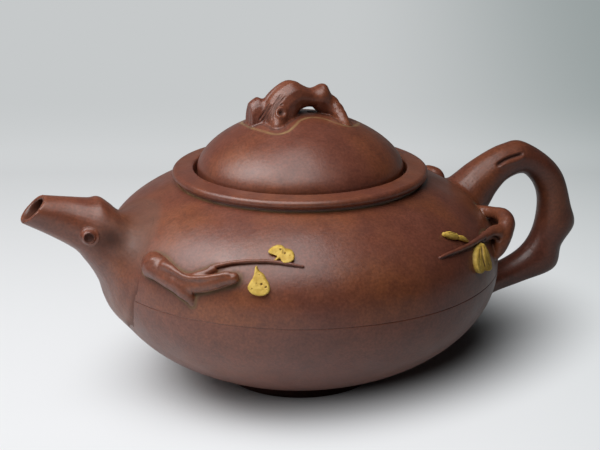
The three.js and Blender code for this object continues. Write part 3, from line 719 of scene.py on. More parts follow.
# %% Lute a shape to its carrier
RIM_DIVE = 0.03
SEAT_DEPTH = 0.45
FILLET_KEPT = 0.97
luted = []


def luted_on(shape, carrier, fillet):
    """A shape with a fillet to the carrier's surface, cut off a little way under that surface."""
    whole = melted(shape, carrier + RIM_DIVE, fillet)
    return cut_off(cut_off(whole, -(carrier + SEAT_DEPTH)), shape - FILLET_KEPT * fillet)


def on_wall(block):
    """Distances from the body's wall, on a lattice."""
    return wall_distance(block.x, block.y, block.z)


def joined(block, limbs, reach, sides=28, band=3):
    """Limbs worked into each other, on a lattice."""
    return all_melted([block.skinned(limb.rings(sides), band) for limb in limbs], reach)


def modelled(limbs, carrier, fillet, step, reach=1, margin=3, sides=28, band=3, hollow=None, lip=0):
    """Limbs worked into each other, luted to a carrier and hollowed if rings of a hollow are given.
    Gives the lattice, the shape on it, the hollow on it and the drawn skin."""
    block = block_round(limbs, margin, step)
    shape = joined(block, limbs, reach, sides, band)
    field = luted_on(shape, carrier(block), fillet)
    inside = None if hollow is None else block.skinned(hollow, 3)
    if inside is not None:
        field = carved(field, inside, lip)
    return block, shape, inside, drawn(block, field)


# %% Bark, tea and painted shade
TEA_REACH = 3.0


def bark(laid_out, *waves):
    """Waves in the clay, each with a stretch, a size, a depth and a seed. A stretch under 1 draws the
    waves out along the branch."""
    return sum(
        depth * ripple(laid_out * (stretch, 1, 1), size, seed) for stretch, size, depth, seed in waves
    )


def moved(points, normals, distance):
    """Points moved along their outward directions."""
    return points + distance[:, None] * normals


def tea_at(away):
    """A number that is 1 at a joint line, where old tea gathers, and 0 at 3 mm from it."""
    return np.clip(1 - np.abs(away) / TEA_REACH, 0, 1)


def shade_in_marks(move, deepest):
    """How much painted shade a mark gets: 0 on the skin, 1 in the deepest marks."""
    return np.clip(-move / deepest, 0, 1)


# %% [markdown]
# ## The spout
#
# The spout is a cut branch: an oblique mouth, a thick wiped lip, a knuckle on top where a shoot was
# lopped, and a wide root that spreads like a shield over the shoulder. The potter rolls a tapering
# slab over a stick, bends it, and lutes it over the pierced wall. Here it is a curve of sections with
# its bore carved out, melted into the wall.

# %% Spout rows
SPOUT_SIDE = [
    {"low": (26.5, 22.5), "top": (18.6, 30.2), "half": 5.5, "wall": 1.7},
    {"low": (17.7, 17.3), "top": (10.9, 28.9), "half": 6.5, "wall": 2.2},
    {"low": (10.1, 11.9), "top": (4.8, 27.9), "half": 8.4, "wall": 2.7},
    {"low": (7.2, 8.5), "top": (1.5, 27.9), "half": 9.8, "wall": 3},
    {"low": (4.6, 4.7), "top": (-1.8, 25.4), "half": 11.8, "wall": 3.2},
    {"low": (2.4, 0.3), "top": (-5, 22.6), "half": 14.6, "wall": 3.2},
    {"low": (-3.2, -11.2), "top": (-11, 20.9), "half": 19.4, "wall": 3.4},
    {"low": (-20, -18), "top": (-27, 19), "half": 21, "wall": 3.4},
]


def place_spout(reach, above):
    """A point by its reach past the belly on the spout's side and its height over the seam."""
    return np.array([-BELLY_RADIUS - reach, 0, SEAM_HEIGHT + above])


# %% Old tea and painted shade round the spout
STAIN_STRENGTH = 0.45
STAIN_LOW, STAIN_FADE = 7, 8  # millimetres over the seam
STAIN_ON_SPOUT, STAIN_ON_WALL = 3.8, 1.3
SPOUT_SHADE = (-57.2, 44)  # the middle of the painted shade round the hollow beside the lopped twig, on the board
SHADE_REACH = 5.5


def stained_at(away, reach, above_seam):
    """How much of the brown stain round the spout's root lies at a distance from the joint line."""
    fade = np.clip((above_seam - STAIN_LOW) / STAIN_FADE, 0, 1)
    return STAIN_STRENGTH * np.exp(-((away / reach) ** 2)) * fade


# %% Model the spout
FINEST, FINE, MEDIUM = 0.2, 0.25, 0.35  # steps of the lattice
SPOUT_FILLET = 3.6
SPOUT_LIP = 0.8
BORE_SKIN = 1.2  # bark and stain fade in over this distance from the bore
SHIELD_LINE, SHIELD_DARKNESS = 0.2, 0.45  # painted shade: a dark line in the crease round the root's lower edge
SHIELD_TOP, SHIELD_FADE = 8, 4  # that line ends at this height over the seam and fades in under it
SPOUT_HOLLOW = (-59.3, 42.8)  # the neck's hollow beside the lopped twig, on the board

spout_limb, spout_walls = side_limb(SPOUT_SIDE, place_spout)
bore_rings = spout_limb.rings(thinner=spout_walls)
past_mouth = 3 * bore_rings[0] - 2 * bore_rings[1]
spout_block, spout_shape, spout_bore, (points, faces, normals) = modelled(
    [spout_limb], on_wall, SPOUT_FILLET, MEDIUM, sides=40, band=6,
    hollow=np.concatenate([[past_mouth], bore_rings]), lip=SPOUT_LIP,
)
laid_out = spout_limb.straightened(points)
outside = np.clip(spout_block.read(spout_bore, points) / BORE_SKIN, 0, 1)
move = bark(laid_out, (0.35, 5.5, 0.2, 11), (0.25, 2.2, 0.05, 12))
move += pit(seen(points), SPOUT_HOLLOW, radius=3.4, depth=1.3) * facing(normals)
points = moved(points, normals, outside * move)
wall_gap = wall_distance(*points.T)
above_seam = points[:, 2] - SEAM_HEIGHT
# Painted shade: a dark patch round the hollow beside the lopped twig, and a dark line in the crease along
# the root's lower edge.
from_shade = (seen(points) - SPOUT_SHADE) / SHADE_REACH
neck_shade = np.exp(-(from_shade**2).sum(1)) * facing(normals)
shield_line = SHIELD_DARKNESS * np.exp(-((wall_gap / SHIELD_LINE) ** 2))
shield_line *= np.clip((SHIELD_TOP - above_seam) / SHIELD_FADE, 0, 1)
make_piece(
    "spout", points, faces, stain=stained_at(wall_gap, STAIN_ON_SPOUT, above_seam) * outside,
    hollow=1 - outside, groove=np.maximum(shield_line, neck_shade * outside),
)

# %% Model the lopped twig on the spout
SPOUT_STUB = [(5.6, 3, 17.8, 2.4), (6.8, 7, 18, 2.4), (7.4, 8.7, 18.2, 2.3)]
SPOUT_STUB_HOLLOW = [(7.5, 10.3, 18.2, 1.5), (8, 12.4, 18.4, 1.7)]
STUB_FILLET = 1.0
STUB_LIP = 0.35
# The stub's hollow gets painted shade, which fades out just outside it over this distance.
STUB_SHADE_FADE = 0.4
stub_block, _, stub_hollow, (points, faces, normals) = modelled(
    [reaching_limb(SPOUT_STUB, place_spout)], lambda block: block.skinned(spout_limb.rings(), 4),
    STUB_FILLET, FINEST, hollow=reaching_limb(SPOUT_STUB_HOLLOW, place_spout).rings(28), lip=STUB_LIP,
)
# Painted shade in the stub's hollow.
make_piece(
    "spout_twig_stub", points, faces,
    groove=0.8 * np.clip(0.8 - stub_block.read(stub_hollow, points) / STUB_SHADE_FADE, 0, 1),
)

# %% [markdown]
# ## The handle
#
# The handle is a thick branch that leaves the shoulder, kinks at the top where the bark is split,
# and comes back to the belly over a knot and a wedge-shaped corner. It is rolled, bent while soft,
# and shaped with a knife when leather-hard.

# %% Handle rows
HANDLE_SIDE = [
    {"low": (-22, -3), "top": (-32, 13), "half": 8.8},
    {"low": (-1.5, 6.8), "top": (-12.4, 21.4), "half": 8.6},
    {"low": (1.6, 10.7), "top": (-3.9, 26.8), "half": 7.4},
    {"low": (4.1, 15.4), "top": (3.5, 30.7), "half": 6.6},
    {"low": (8.5, 20), "top": (9.1, 32.6), "half": 6.1},
    {"low": (15.3, 22), "top": (15.5, 33.1), "half": 5.8},
    {"low": (19.6, 19.4), "top": (24.6, 27.7), "half": 5.6},
    {"low": (22.4, 14.9), "top": (31.2, 20.4), "half": 5.5},
    {"low": (23.2, 9.6), "top": (35.1, 9.6), "half": 5.6},
    {"low": (22.4, 3.5), "top": (37, 1.9), "half": 6},
    {"low": (20.3, -1.8), "top": (32.3, -5.3), "half": 5.5},
    {"low": (16.6, -5.8), "top": (29.6, -13.6), "half": 6},
    {"low": (10.9, -8.8), "top": (17.1, -17.3), "half": 5.5},
    {"low": (5.5, -10.2), "top": (7.4, -19.5), "half": 5.8},
    {"low": (-3, -10.9), "top": (-2, -22.2), "half": 7},
    {"low": (-24, -9), "top": (-24, -25), "half": 8},
]


def place_handle(reach, above):
    """A point by its reach past the belly on the handle's side and its height over the seam."""
    return np.array([BELLY_RADIUS + reach, 0, SEAM_HEIGHT + above])


# %% Model the handle
HANDLE_FILLET = 1.5
SCAR = [(66.1, 68.5), (69.2, 70.6), (72.6, 71.9), (75.6, 72.8)]
SCAR_LIP = [(66.6, 67.7), (69.8, 69.2), (73.4, 70.4), (76.2, 71.9)]
handle_limb, _ = side_limb(HANDLE_SIDE, place_handle)
block, shape, _, (points, faces, normals) = modelled(
    [handle_limb], on_wall, HANDLE_FILLET, MEDIUM, sides=40, band=6
)
luted.append((block, shape, HANDLE_FILLET))
laid_out = handle_limb.straightened(points)
scar = score(seen(points), SCAR, width=0.55, depth=0.95, lip=0.1)
scar += score(seen(points), SCAR_LIP, width=0.6, depth=-0.35)
scar *= facing(normals)
move = bark(laid_out, (0.3, 6, 0.32, 31), (0.16, 2.4, 0.08, 32)) + scar
# The scar gets painted shade where it goes in.
make_piece("handle", moved(points, normals, move), faces, groove=shade_in_marks(scar, 0.8))

# %% Model the far stub
FAR_STUB = [
    (12.5, 18.4, -1.2, 2.3, 2.3),
    (13.5, 19.7, 0.2, 2.6, 2.6),
    (16.5, 20.4, 0.3, 2.5, 2.5),
    (19.5, 20.6, -0.6, 1.9, 1.9),
]
FAR_STUB_FILLET = 1.0
block, shape, _, (points, faces, normals) = modelled(
    [wall_limb(FAR_STUB)], on_wall, FAR_STUB_FILLET, FINE, sides=24
)
luted.append((block, shape, FAR_STUB_FILLET))
points = moved(points, normals, bark(points, (1, 2.6, 0.2, 41)))
make_piece("handle_far_stub", points, faces, tea=0.8 * tea_at(wall_distance(*points.T)))

# %% [markdown]
# ## The branches on the wall
#
# On the near side a short gnarled branch lies on the shoulder: a hollow stump, a trunk with a
# pointed foot, an arm and a shoot. It is modelled from a few rolls of clay that are pressed on and
# worked into each other, so its limbs melt together here too, with a small fillet at the wall.

# %% Front branch rows
FRONT_TRUNK = [
    (-157.6, 12.4, 0.2, 3.1, 1.8),
    (-155.6, 12.7, 1.1, 4, 2.5),
    (-152.4, 12.5, 1.5, 3.9, 2.8),
    (-148.8, 11.5, 1.3, 3.3, 2.6),
    (-144.6, 9.9, 0.9, 2.9, 2.1),
    (-141.8, 8.2, 0.7, 2.5, 1.8),
    (-140.2, 6.4, 0.3, 1.6, 1.3),
    (-139.7, 5, -0.2, 0.7, 0.8),
]
FRONT_KNUCKLES = [(-155, 12.6, 2.5, 1.6, 1.5), (-152.8, 13.5, 3, 1.6, 1.6)]
FRONT_CREST = [
    (-148.6, 13.2, 3, 1.7, 1.6),
    (-146.4, 13, 3.2, 1.4, 1.4),
    (-143, 12.2, 3.1, 0.9, 0.9),
    (-140.1, 11.8, 3, 0.8, 0.8),
    (-136.4, 12.2, 2.9, 0.8, 0.8),
    (-132, 13.3, 2.8, 0.9, 0.9),
    (-129.4, 13.9, 2.5, 1, 1),
]
FRONT_ARM = [
    (-146, 10.2, 0.8, 2.3, 1.9),
    (-140, 10.4, 0.9, 2.5, 1.7),
    (-134.6, 11.5, 1.2, 2.2, 1.8),
    (-130.6, 12.7, 1.4, 1.9, 1.8),
    (-127.9, 13.5, 1.5, 1.8, 1.7),
]
FRONT_SHOOT = [
    (-147, 11.4, 1.1, 2, 1.8),
    (-142, 11.6, 1.1, 1.4, 1.5),
    (-138, 13, 0.9, 1.4, 1.2),
    (-134.6, 15.2, 0.5, 0.9, 0.9),
]
FRONT_HOLLOW = [(-155.6, 17.4, 4.2, 2, 2), (-152.2, 17.6, 4, 1.9, 1.9)]
FRONT_TWIG = [
    (-135.6, 15.3, 0.5, 0.75, 0.9),
    (-131.9, 16.6, 0.5, 0.7, 0.85),
    (-127.6, 17.5, 0.5, 0.65, 0.8),
    (-121.7, 18.1, 0.5, 0.65, 0.8),
    (-117.3, 18.1, 0.4, 0.6, 0.75),
    (-112.9, 17.7, 0.4, 0.55, 0.7),
    (-109.2, 17.2, 0.3, 0.35, 0.6),
]


def wall_path(places, out):
    """A path of bearings and heights at a distance out from the wall."""
    return [wall_point(bearing, above, out) for bearing, above in places]


# %% Model the front branch
BRANCH_FILLET = 0.7
BRANCH_JOIN = 0.8
STUMP_LIP = 0.6
FRONT_PIT = (-151.8, 16.1, 2.2)
FRONT_LOWER_RIM = [(-153.1, 8.6), (-149.8, 8.9), (-145.8, 8.2), (-143.6, 7.3), (-141.4, 6.1)]
front_tables = (FRONT_TRUNK, FRONT_KNUCKLES, FRONT_CREST, FRONT_ARM, FRONT_SHOOT)
front_limbs = [wall_limb(rows) for rows in front_tables]
block, shape, _, (points, faces, normals) = modelled(
    front_limbs, on_wall, BRANCH_FILLET, FINE, BRANCH_JOIN,
    hollow=wall_limb(FRONT_HOLLOW).rings(28), lip=STUMP_LIP,
)
luted.append((block, shape, BRANCH_FILLET))
laid_out = front_limbs[0].straightened(points)
marks = pit(points, wall_point(*FRONT_PIT), radius=0.9, depth=1.2, lip=0.1)
marks += score(points, wall_path(FRONT_LOWER_RIM, out=1.2), width=0.6, depth=-0.35)
move = bark(laid_out, (0.4, 2.6, 0.16, 51)) + bark(points, (1, 1.1, 0.05, 52)) + marks
points = moved(points, normals, move)
# The pit and the scores get painted shade where they go in.
make_piece(
    "front_branch", points, faces,
    tea=0.85 * tea_at(wall_distance(*points.T)), groove=0.7 * shade_in_marks(marks, 0.9),
)

# %% Model a twig
TWIG_FILLET = 0.35


def lay_twig(node, rows, branch, seed):
    """A thin twig on the wall that leaves a branch. Its lower side gets painted shade."""
    points, faces, normals = modelled(
        [wall_limb(rows)], lambda block: np.minimum(on_wall(block), joined(block, branch, BRANCH_JOIN)),
        TWIG_FILLET, FINEST, margin=2, sides=20, band=2,
    )[3]
    points = moved(points, normals, bark(points, (1, 1.6, 0.07, seed)))
    # Painted shade on the side that faces down.
    make_piece(node, points, faces, groove=0.9 * np.clip(-normals[:, 2] * 1.6, 0, 1))


lay_twig("front_twig", FRONT_TWIG, front_limbs, 54)

# %% [markdown]
# ## The rear branch
#
# Near the handle a second branch leaves the shoulder in a loop that stands off the wall, so light
# comes through under it. A spur joins its back to the wall, and a twig runs from the spur to the
# front.

# %% Rear branch rows
REAR_LOOP = [
    (-18, 17.4, -3, 2.2, 2.2),
    (-20, 16.1, 0.3, 2.1, 2.1),
    (-23, 15.1, 3.1, 1.9, 1.9),
    (-26, 14.2, 5.3, 2.3, 2.3),
    (-29, 13, 5.9, 2.7, 2.7),
    (-31.5, 11.8, 4.6, 2.8, 2.8),
    (-33, 10.2, 3, 2.7, 2.7),
    (-34, 8.2, 1.4, 2.1, 2.1),
    (-35, 6.6, 0.2, 1.3, 1.3),
]
REAR_BURL = [(-19, 16.4, -1.6, 2.6, 2.6), (-17.4, 13, -0.6, 3.8, 3.8), (-19, 9.4, -0.6, 3.2, 3.2)]
REAR_SPUR = [
    (-40.4, 14, 0.7, 1.2, 1.2),
    (-37, 13.7, 1.4, 1.8, 1.8),
    (-34, 12.9, 2.6, 2.4, 2.4),
    (-32, 11.9, 3.7, 2.6, 2.6),
]
REAR_TWIG = [
    (-66, 15, 0.1, 0.4, 0.6),
    (-61.5, 15.1, 0.4, 0.6, 0.75),
    (-56.4, 15, 0.5, 0.75, 0.85),
    (-50.4, 14.8, 0.5, 0.85, 0.95),
    (-45, 14.6, 0.6, 0.95, 1.05),
    (-40, 14.3, 0.7, 1.05, 1.15),
]

# %% Model the rear branch and its twig
REAR_SCORE = [(-41, 13), (-37.6, 12.2), (-34, 10.8)]
rear_limbs = [wall_limb(rows) for rows in (REAR_LOOP, REAR_BURL, REAR_SPUR)]
block, shape, _, (points, faces, normals) = modelled(rear_limbs, on_wall, BRANCH_FILLET, FINE, BRANCH_JOIN)
luted.append((block, shape, BRANCH_FILLET))
laid_out = rear_limbs[0].straightened(points)
marks = score(points, wall_path(REAR_SCORE, out=2.6), width=0.6, depth=0.9)
move = bark(laid_out, (0.4, 2.8, 0.22, 61)) + bark(points, (1, 1.2, 0.06, 62)) + marks
points = moved(points, normals, move)
# The score gets painted shade where it goes in.
make_piece(
    "rear_branch", points, faces,
    tea=0.8 * tea_at(wall_distance(*points.T)), groove=shade_in_marks(marks, 0.8),
)
lay_twig("rear_twig", REAR_TWIG, rear_limbs, 64)

# %% [markdown]
# ## Buds and blossoms of yellow clay
#
# These are flat crumbs of a yellow clay body, pressed on with a finger and pricked with a needle. A
# pad is cut from an outline on the wall, given a thickness with a soft edge, and then pitted.

# %% Pads on the wall
PAD_EDGE = 0.7
PAD_STEP = 0.16
PAD_JOIN = 0.3


def round_trip(outline, steps=5):
    """A smooth closed curve through places."""
    closed = smooth_rows([outline[-1], *outline, *outline[:2]], steps)
    return closed[steps:steps * (len(outline) + 1)]


def pad_shape(block, outline, thickness):
    """Distances from a flat soft-edged piece pressed on the wall."""
    middle = np.mean(outline, axis=0)
    scale_round = math.radians(1) * float(wall_radius(middle[1]))
    scale_up = 1 / math.cos(wall_lean(middle[1]))
    flat = (round_trip(outline) - middle) * (scale_round, scale_up)
    bearing = np.degrees(np.arctan2(block.y, block.x))
    u, v = np.broadcast_arrays(
        (bearing - middle[0]) * scale_round, (block.z - SEAM_HEIGHT - middle[1]) * scale_up
    )
    sideways = outline_distance(np.stack([u.ravel(), v.ravel()], 1), flat)
    sideways = np.broadcast_to(sideways.reshape(u.shape), block.count)
    return -melted(-sideways, -(on_wall(block) - thickness), PAD_EDGE)


def lay_on(node, pads, stalks, marks, seed):
    """A yellow piece on the wall, from pads of an outline and a thickness, and from thin stalks."""
    limbs = [wall_limb(rows) for rows in stalks]
    places = [
        wall_point(bearing, above, out)
        for outline, thickness in pads for bearing, above in outline for out in (-1, thickness)
    ]
    places += [point for limb in limbs for point in limb.rings(12).reshape(-1, 3)]
    block = Block(np.min(places, axis=0) - 1.5, np.max(places, axis=0) + 1.5, PAD_STEP)
    shapes = [pad_shape(block, outline, thickness) for outline, thickness in pads]
    shapes += [block.skinned(limb.rings(20), 2) for limb in limbs]
    whole = cut_off(all_melted(shapes, PAD_JOIN), -(on_wall(block) + SEAT_DEPTH))
    points, faces, normals = drawn(block, whole, rounds=4)
    lumps = bark(points, (1, 1.7, 0.16, seed), (1, 0.7, 0.07, seed + 1))
    pricks = sum(mark(points) for mark in marks)
    points = moved(points, normals, lumps + pricks)
    # Painted shade in the pricks and creases, and along the rim where the piece meets the wall.
    rim = np.clip(1 - (wall_distance(*points.T) - 0.1) / 0.45, 0, 1)
    groove = np.maximum(shade_in_marks(pricks, 0.45), 0.55 * rim)
    make_piece(node, points, faces, "yellow_clay", "yellow", groove=groove)


def prick(bearing, above, radius=0.32, depth=0.6, out=1.2):
    """A needle prick in a yellow piece."""
    return lambda points: pit(points, wall_point(bearing, above, out), radius, depth, 0.05)


def crease(places, width, depth, out=1.3):
    """A crease pressed along places on a yellow piece."""
    return lambda points: score(points, wall_path(places, out), width, depth, 0.08)


# %% Model the yellow pieces
FRONT_DROP = [
    (-122.5, 17.2), (-121.6, 16.3), (-120.4, 15.5), (-118.5, 13.4), (-117.9, 11.4), (-118.8, 10.3),
    (-120.4, 9.9), (-122.2, 10.2), (-123.4, 11), (-123.9, 12.2), (-123.5, 13.4), (-122.8, 14.4),
    (-122.6, 15.7),
]
lay_on("front_drop", [(FRONT_DROP, 1.3)], [], [
    prick(-120.2, 12.6, 0.34), prick(-118.9, 11.9), prick(-121.5, 12.7, 0.22, 0.35),
    prick(-122.6, 11.3, 0.22, 0.35), prick(-121, 14.8, 0.2, 0.3),
], 71)

FRONT_BUD_LEFT = [
    (-119.6, 20.7), (-118.6, 21.6), (-116.8, 22), (-114.9, 21.7), (-114.1, 20.7), (-115, 19.9),
    (-117, 19.9),
]
FRONT_BUD_RIGHT = [
    (-116, 20), (-115, 21.3), (-113.2, 21.3), (-111.8, 20.5), (-111.7, 19.3), (-113, 18.6), (-115, 18.6),
]
FRONT_BUD_STALK = [(-115.2, 19.7, 0.6, 0.75, 0.7), (-117.6, 18.2, 0.4, 0.35, 0.45)]
lay_on("front_bud", [(FRONT_BUD_LEFT, 1), (FRONT_BUD_RIGHT, 1.2)], [FRONT_BUD_STALK], [
    prick(-115.9, 20.7, 0.34), prick(-114.5, 19.9, 0.3), prick(-112.9, 19.4, 0.22, 0.35),
    crease([(-115.6, 21.6), (-115, 20.7), (-115.2, 19.7)], 0.3, 0.3),
], 73)

REAR_BUD_TIP = [(-59.2, 19.4, 0.5, 0.8, 0.8), (-57.4, 18.9, 0.7, 1.25, 1.1), (-55.4, 18.1, 0.7, 1.15, 1)]
REAR_BUD_FOOT = [(-54.4, 17.7, 0.6, 0.75, 0.85), (-53, 17, 0.7, 0.95, 0.9), (-51.2, 15.9, 0.4, 0.4, 0.6)]
lay_on("rear_bud", [], [REAR_BUD_TIP, REAR_BUD_FOOT], [
    crease([(-58.4, 19.2), (-56.8, 18.7), (-55.4, 18.3)], 0.25, 0.3, 1.6),
    prick(-54.6, 17.9, 0.35, 0.4, 1.2),
], 75)

BLOSSOM_LEFT = [
    (-46, 14.2), (-48.4, 14), (-50.6, 13), (-52.6, 11.2), (-53.2, 9.2), (-52.6, 7.4), (-50.8, 6.5),
    (-49.2, 6.9), (-48.6, 9), (-47.4, 11.6),
]
BLOSSOM_RIGHT = [
    (-45.4, 14.3), (-47.2, 13.4), (-48.6, 11), (-49.2, 8.8), (-48.4, 7), (-46.8, 5.9), (-45.2, 5.9),
    (-44.4, 7.2), (-44.2, 9.4), (-44.5, 12),
]
BLOSSOM_CREASES = [
    crease([(-46.8, 13.2), (-48.6, 11.2), (-49.2, 8.9), (-49, 7.3)], 0.35, 0.5, 1.5),
    crease([(-46, 12.8), (-46.9, 10.4), (-47, 8.2), (-46.4, 6.8)], 0.35, 0.4, 1.8),
    crease([(-48.6, 12.8), (-50.8, 11), (-51.7, 8.8)], 0.35, 0.35, 1.6),
]
lay_on("rear_blossom", [(BLOSSOM_LEFT, 1.5), (BLOSSOM_RIGHT, 1.9)], [], BLOSSOM_CREASES, 77)

# %% [markdown]
# ## The knob
#
# The knob is a knotty root that arches over the top of the lid, tall enough for a finger and thumb.
# A lopped stub closes its left end, and its flank is combed with bark grooves that run round a knot
# hole. Tea has left a pale line where it meets the lid.

# %% Knob rows
KNOB_ARCH = [
    {"low": (-2.4, -8), "top": (-13.5, -9), "half": 6.6},
    {"low": (-1.9, -1.6), "top": (-13.4, -0.6), "half": 6.5},
    {"low": (-0.8, 0.7), "top": (-10.9, 6.4), "half": 5.7},
    {"low": (1.5, 1.7), "top": (-3.9, 10.9), "half": 4.9},
    {"low": (4, 1.6), "top": (3.5, 7.8), "half": 3.7},
    {"low": (5.7, 0.1), "top": (8.6, 8.8), "half": 3.9},
    {"low": (9.6, -2), "top": (11.6, 3), "half": 2.9},
    {"low": (14, -5.4), "top": (17.4, -3.8), "half": 2.7},
    {"low": (15, -10), "top": (20.5, -9), "half": 2.6},
]
KNOB_STUB = [
    {"low": (-5, -4), "top": (-7, 5.2), "half": 4},
    {"low": (-10.4, -6), "top": (-10.8, 4.4), "half": 4},
    {"low": (-14.8, -8), "top": (-13.6, 5.6), "half": 3.8},
    {"low": (-16.6, -8), "top": (-16.4, 4), "half": 3.5},
]
KNOB_STUB_BACK = 2.4
KNOB_LEFT_TOE = [(-8.2, 2.5, 2.4, 3.6), (-9.3, 5.2, -0.2, 3), (-10.2, 7.4, -2, 1.9)]
KNOB_RIGHT_TOE = [(10.6, 0.5, 2.6, 2.3), (12.2, 4.6, -0.9, 2.1), (12.6, 8.2, -3.1, 1.5)]

# %% Marks on the knob
KNOB_HOLE = (-5.9, 83.9)
KNOB_GROOVES = [  # a path on the board, then width and depth
    ([(-13.1, 81.8), (-11.4, 84.6), (-9.7, 87.1)], 0.28, 0.42),
    ([(-12.2, 81.3), (-10.6, 84.1), (-8.9, 86.7)], 0.28, 0.42),
    ([(-11, 81.2), (-9.8, 83.8), (-8, 87), (-5.8, 90.2)], 0.3, 0.28),
    ([(-9.9, 81.2), (-9, 83.8), (-7.2, 87.2), (-5, 90.2)], 0.3, 0.28),
    ([(-8.9, 81.6), (-8.4, 83.9), (-6.8, 86.8), (-4.6, 89.4)], 0.3, 0.3),
    ([(-7.9, 82), (-7.8, 84.4), (-6.8, 86), (-5.2, 86.8)], 0.3, 0.26),
]
TEA_OUTLINE = [  # round the knob on the lid, as seen from above
    (-17, 9.4), (-17.3, -0.8), (-15.4, -7), (-12.7, -11.9), (-9.1, -12.9), (-6, -11), (-2.8, -7.8),
    (1.1, -6.1), (5.4, -7), (7.6, -9.2), (11.1, -11), (15.4, -8.9), (19, -3.6), (19.6, 1.2),
    (17.4, 4.6), (11, 5.4), (4, 6.6), (-2, 8.6), (-8, 11.2), (-13, 12),
]

# %% Model the knob
KNOB_FILLET = 0.7
KNOB_JOIN = 1.3
KNOB_STEP = 0.22
HOLE_RING, HOLE_RING_WIDTH, HOLE_RING_RISE = 1.5, 0.5, 0.35


def place_knob(x, above):
    """A point by its place along the pot and its height over the lid's apex."""
    return np.array([x, 0, LID_APEX + above])


def place_knob_stub(x, above):
    """The same for the stub, which sits further back."""
    return place_knob(x, above) + (0, KNOB_STUB_BACK, 0)


knob_arch, _ = side_limb(KNOB_ARCH, place_knob)
knob_limbs = [knob_arch, side_limb(KNOB_STUB, place_knob_stub)[0]]
knob_limbs += [reaching_limb(rows, place_knob) for rows in (KNOB_LEFT_TOE, KNOB_RIGHT_TOE)]
knob_block, knob_shape, _, (points, faces, normals) = modelled(
    knob_limbs, lambda block: lid_distance(block.x, block.y, block.z), KNOB_FILLET, KNOB_STEP, KNOB_JOIN
)
laid_out = knob_arch.straightened(points)
from_hole = np.linalg.norm(seen(points) - KNOB_HOLE, axis=1)
marks = pit(seen(points), KNOB_HOLE, radius=0.75, depth=0.9)
marks += HOLE_RING_RISE * np.exp(-(((from_hole - HOLE_RING) / HOLE_RING_WIDTH) ** 2))
for path, width, depth in KNOB_GROOVES:
    marks += score(seen(points), path, width, depth, lip=0.15 * depth)
marks *= facing(normals)
move = bark(laid_out, (0.3, 2.6, 0.2, 81), (0.2, 1.1, 0.13, 82)) + marks
# The knot hole and the bark grooves get painted shade where they go in.
make_piece(
    "lid_knob", moved(points, normals, move), faces, "lid_clay", groove=0.9 * shade_in_marks(marks, 0.5)
)

# %% [markdown]
# ## The body, collar and lid
#
# These round pieces are outlines turned about the upright axis, with their real walls, so that the
# pot is hollow when the lid is off. The two halves meet at the belly, where the wiped edges leave a
# line as fine as a hair.

# %% Turned pieces
SEAM_EDGE = 0.28
WIPED_EDGE = 0.45
SEAT_EDGE, LEDGE_EDGE, FOOT_EDGE, FLANGE_EDGE = 0.2, 0.5, 0.6, 0.7
WAVE_SKIN = 0.3  # the waves of the hand fade out at this distance from the outside
# Painted shade round the luted limbs, where the fillet meets the wall: its strength, and its reach in
# millimetres.
LIMB_SHADE, LIMB_SHADE_REACH = 0.6, 0.7


def near_limbs(points, reaches):
    """The distance from each point to the nearest luted limb's fillet, up to the tea's reach."""
    nearest = np.full(len(points), TEA_REACH)
    for block, shape, fillet in reaches:
        inside = block.covers(points)
        if inside.any():
            edge = np.maximum(block.read(shape, points[inside]) - fillet, 0)
            nearest[inside] = np.minimum(nearest[inside], edge)
    return nearest


def worked(points, faces, form):
    """Moves the outside of a turned piece by the waves of the hand."""
    quads = np.array([f for f in faces if len(f) == 4])
    corners = points[quads]
    across = np.cross(corners[:, 2] - corners[:, 0], corners[:, 3] - corners[:, 1])
    normals = np.zeros_like(points)
    for column in quads.T:
        np.add.at(normals, column, across)
    normals /= np.maximum(np.linalg.norm(normals, axis=1, keepdims=True), 1e-9)
    waves = hand(*points.T)
    share = np.clip(1 - np.abs(form(*points.T) + waves) / WAVE_SKIN, 0, 1)
    return moved(points, normals, share * waves)


def turned_piece(
    node, outline, edges, slot="red_clay", clay="burnished", form=None, tea_from=None, limbs=()
):
    """A turned piece with edges wiped to a width at some corners. Its form says what is inside, tea_from
    how far the tea's line is, and painted shade lies round its limbs."""
    widths = np.zeros(len(outline))
    for corner, width in edges.items():
        widths[corner] = width
    points, faces = turned(wiped(outline, widths))
    marks = {}
    if form is not None:
        points = worked(points, faces, form)
        marks["hollow"] = np.clip(-form(*points.T), 0, 1)
    if tea_from is not None:
        marks["tea"] = tea_at(tea_from(points)) * (1 - marks.get("hollow", 0))
    if limbs:
        # Painted shade round the limbs.
        marks["groove"] = LIMB_SHADE * np.exp(-((near_limbs(points, limbs) / LIMB_SHADE_REACH) ** 2))
    if node == "upper_shoulder":
        from_spout = near_limbs(points, [(spout_block, spout_shape, SPOUT_FILLET)])
        marks["stain"] = stained_at(from_spout, STAIN_ON_WALL, points[:, 2] - SEAM_HEIGHT)
    return make_piece(node, points, faces, slot, clay, **marks)


def body_tea(points):
    """The distance to the nearest joint line on the body: a limb's, or the collar's."""
    collar = np.hypot(np.hypot(points[:, 0], points[:, 1]) - NECK_RADIUS, points[:, 2] - SEAT_HEIGHT)
    return np.minimum(near_limbs(points, luted), collar)


def lid_tea(points):
    """The distance to the tea's line round the knob."""
    return np.abs(outline_distance(points[:, :2], round_trip(TEA_OUTLINE)))


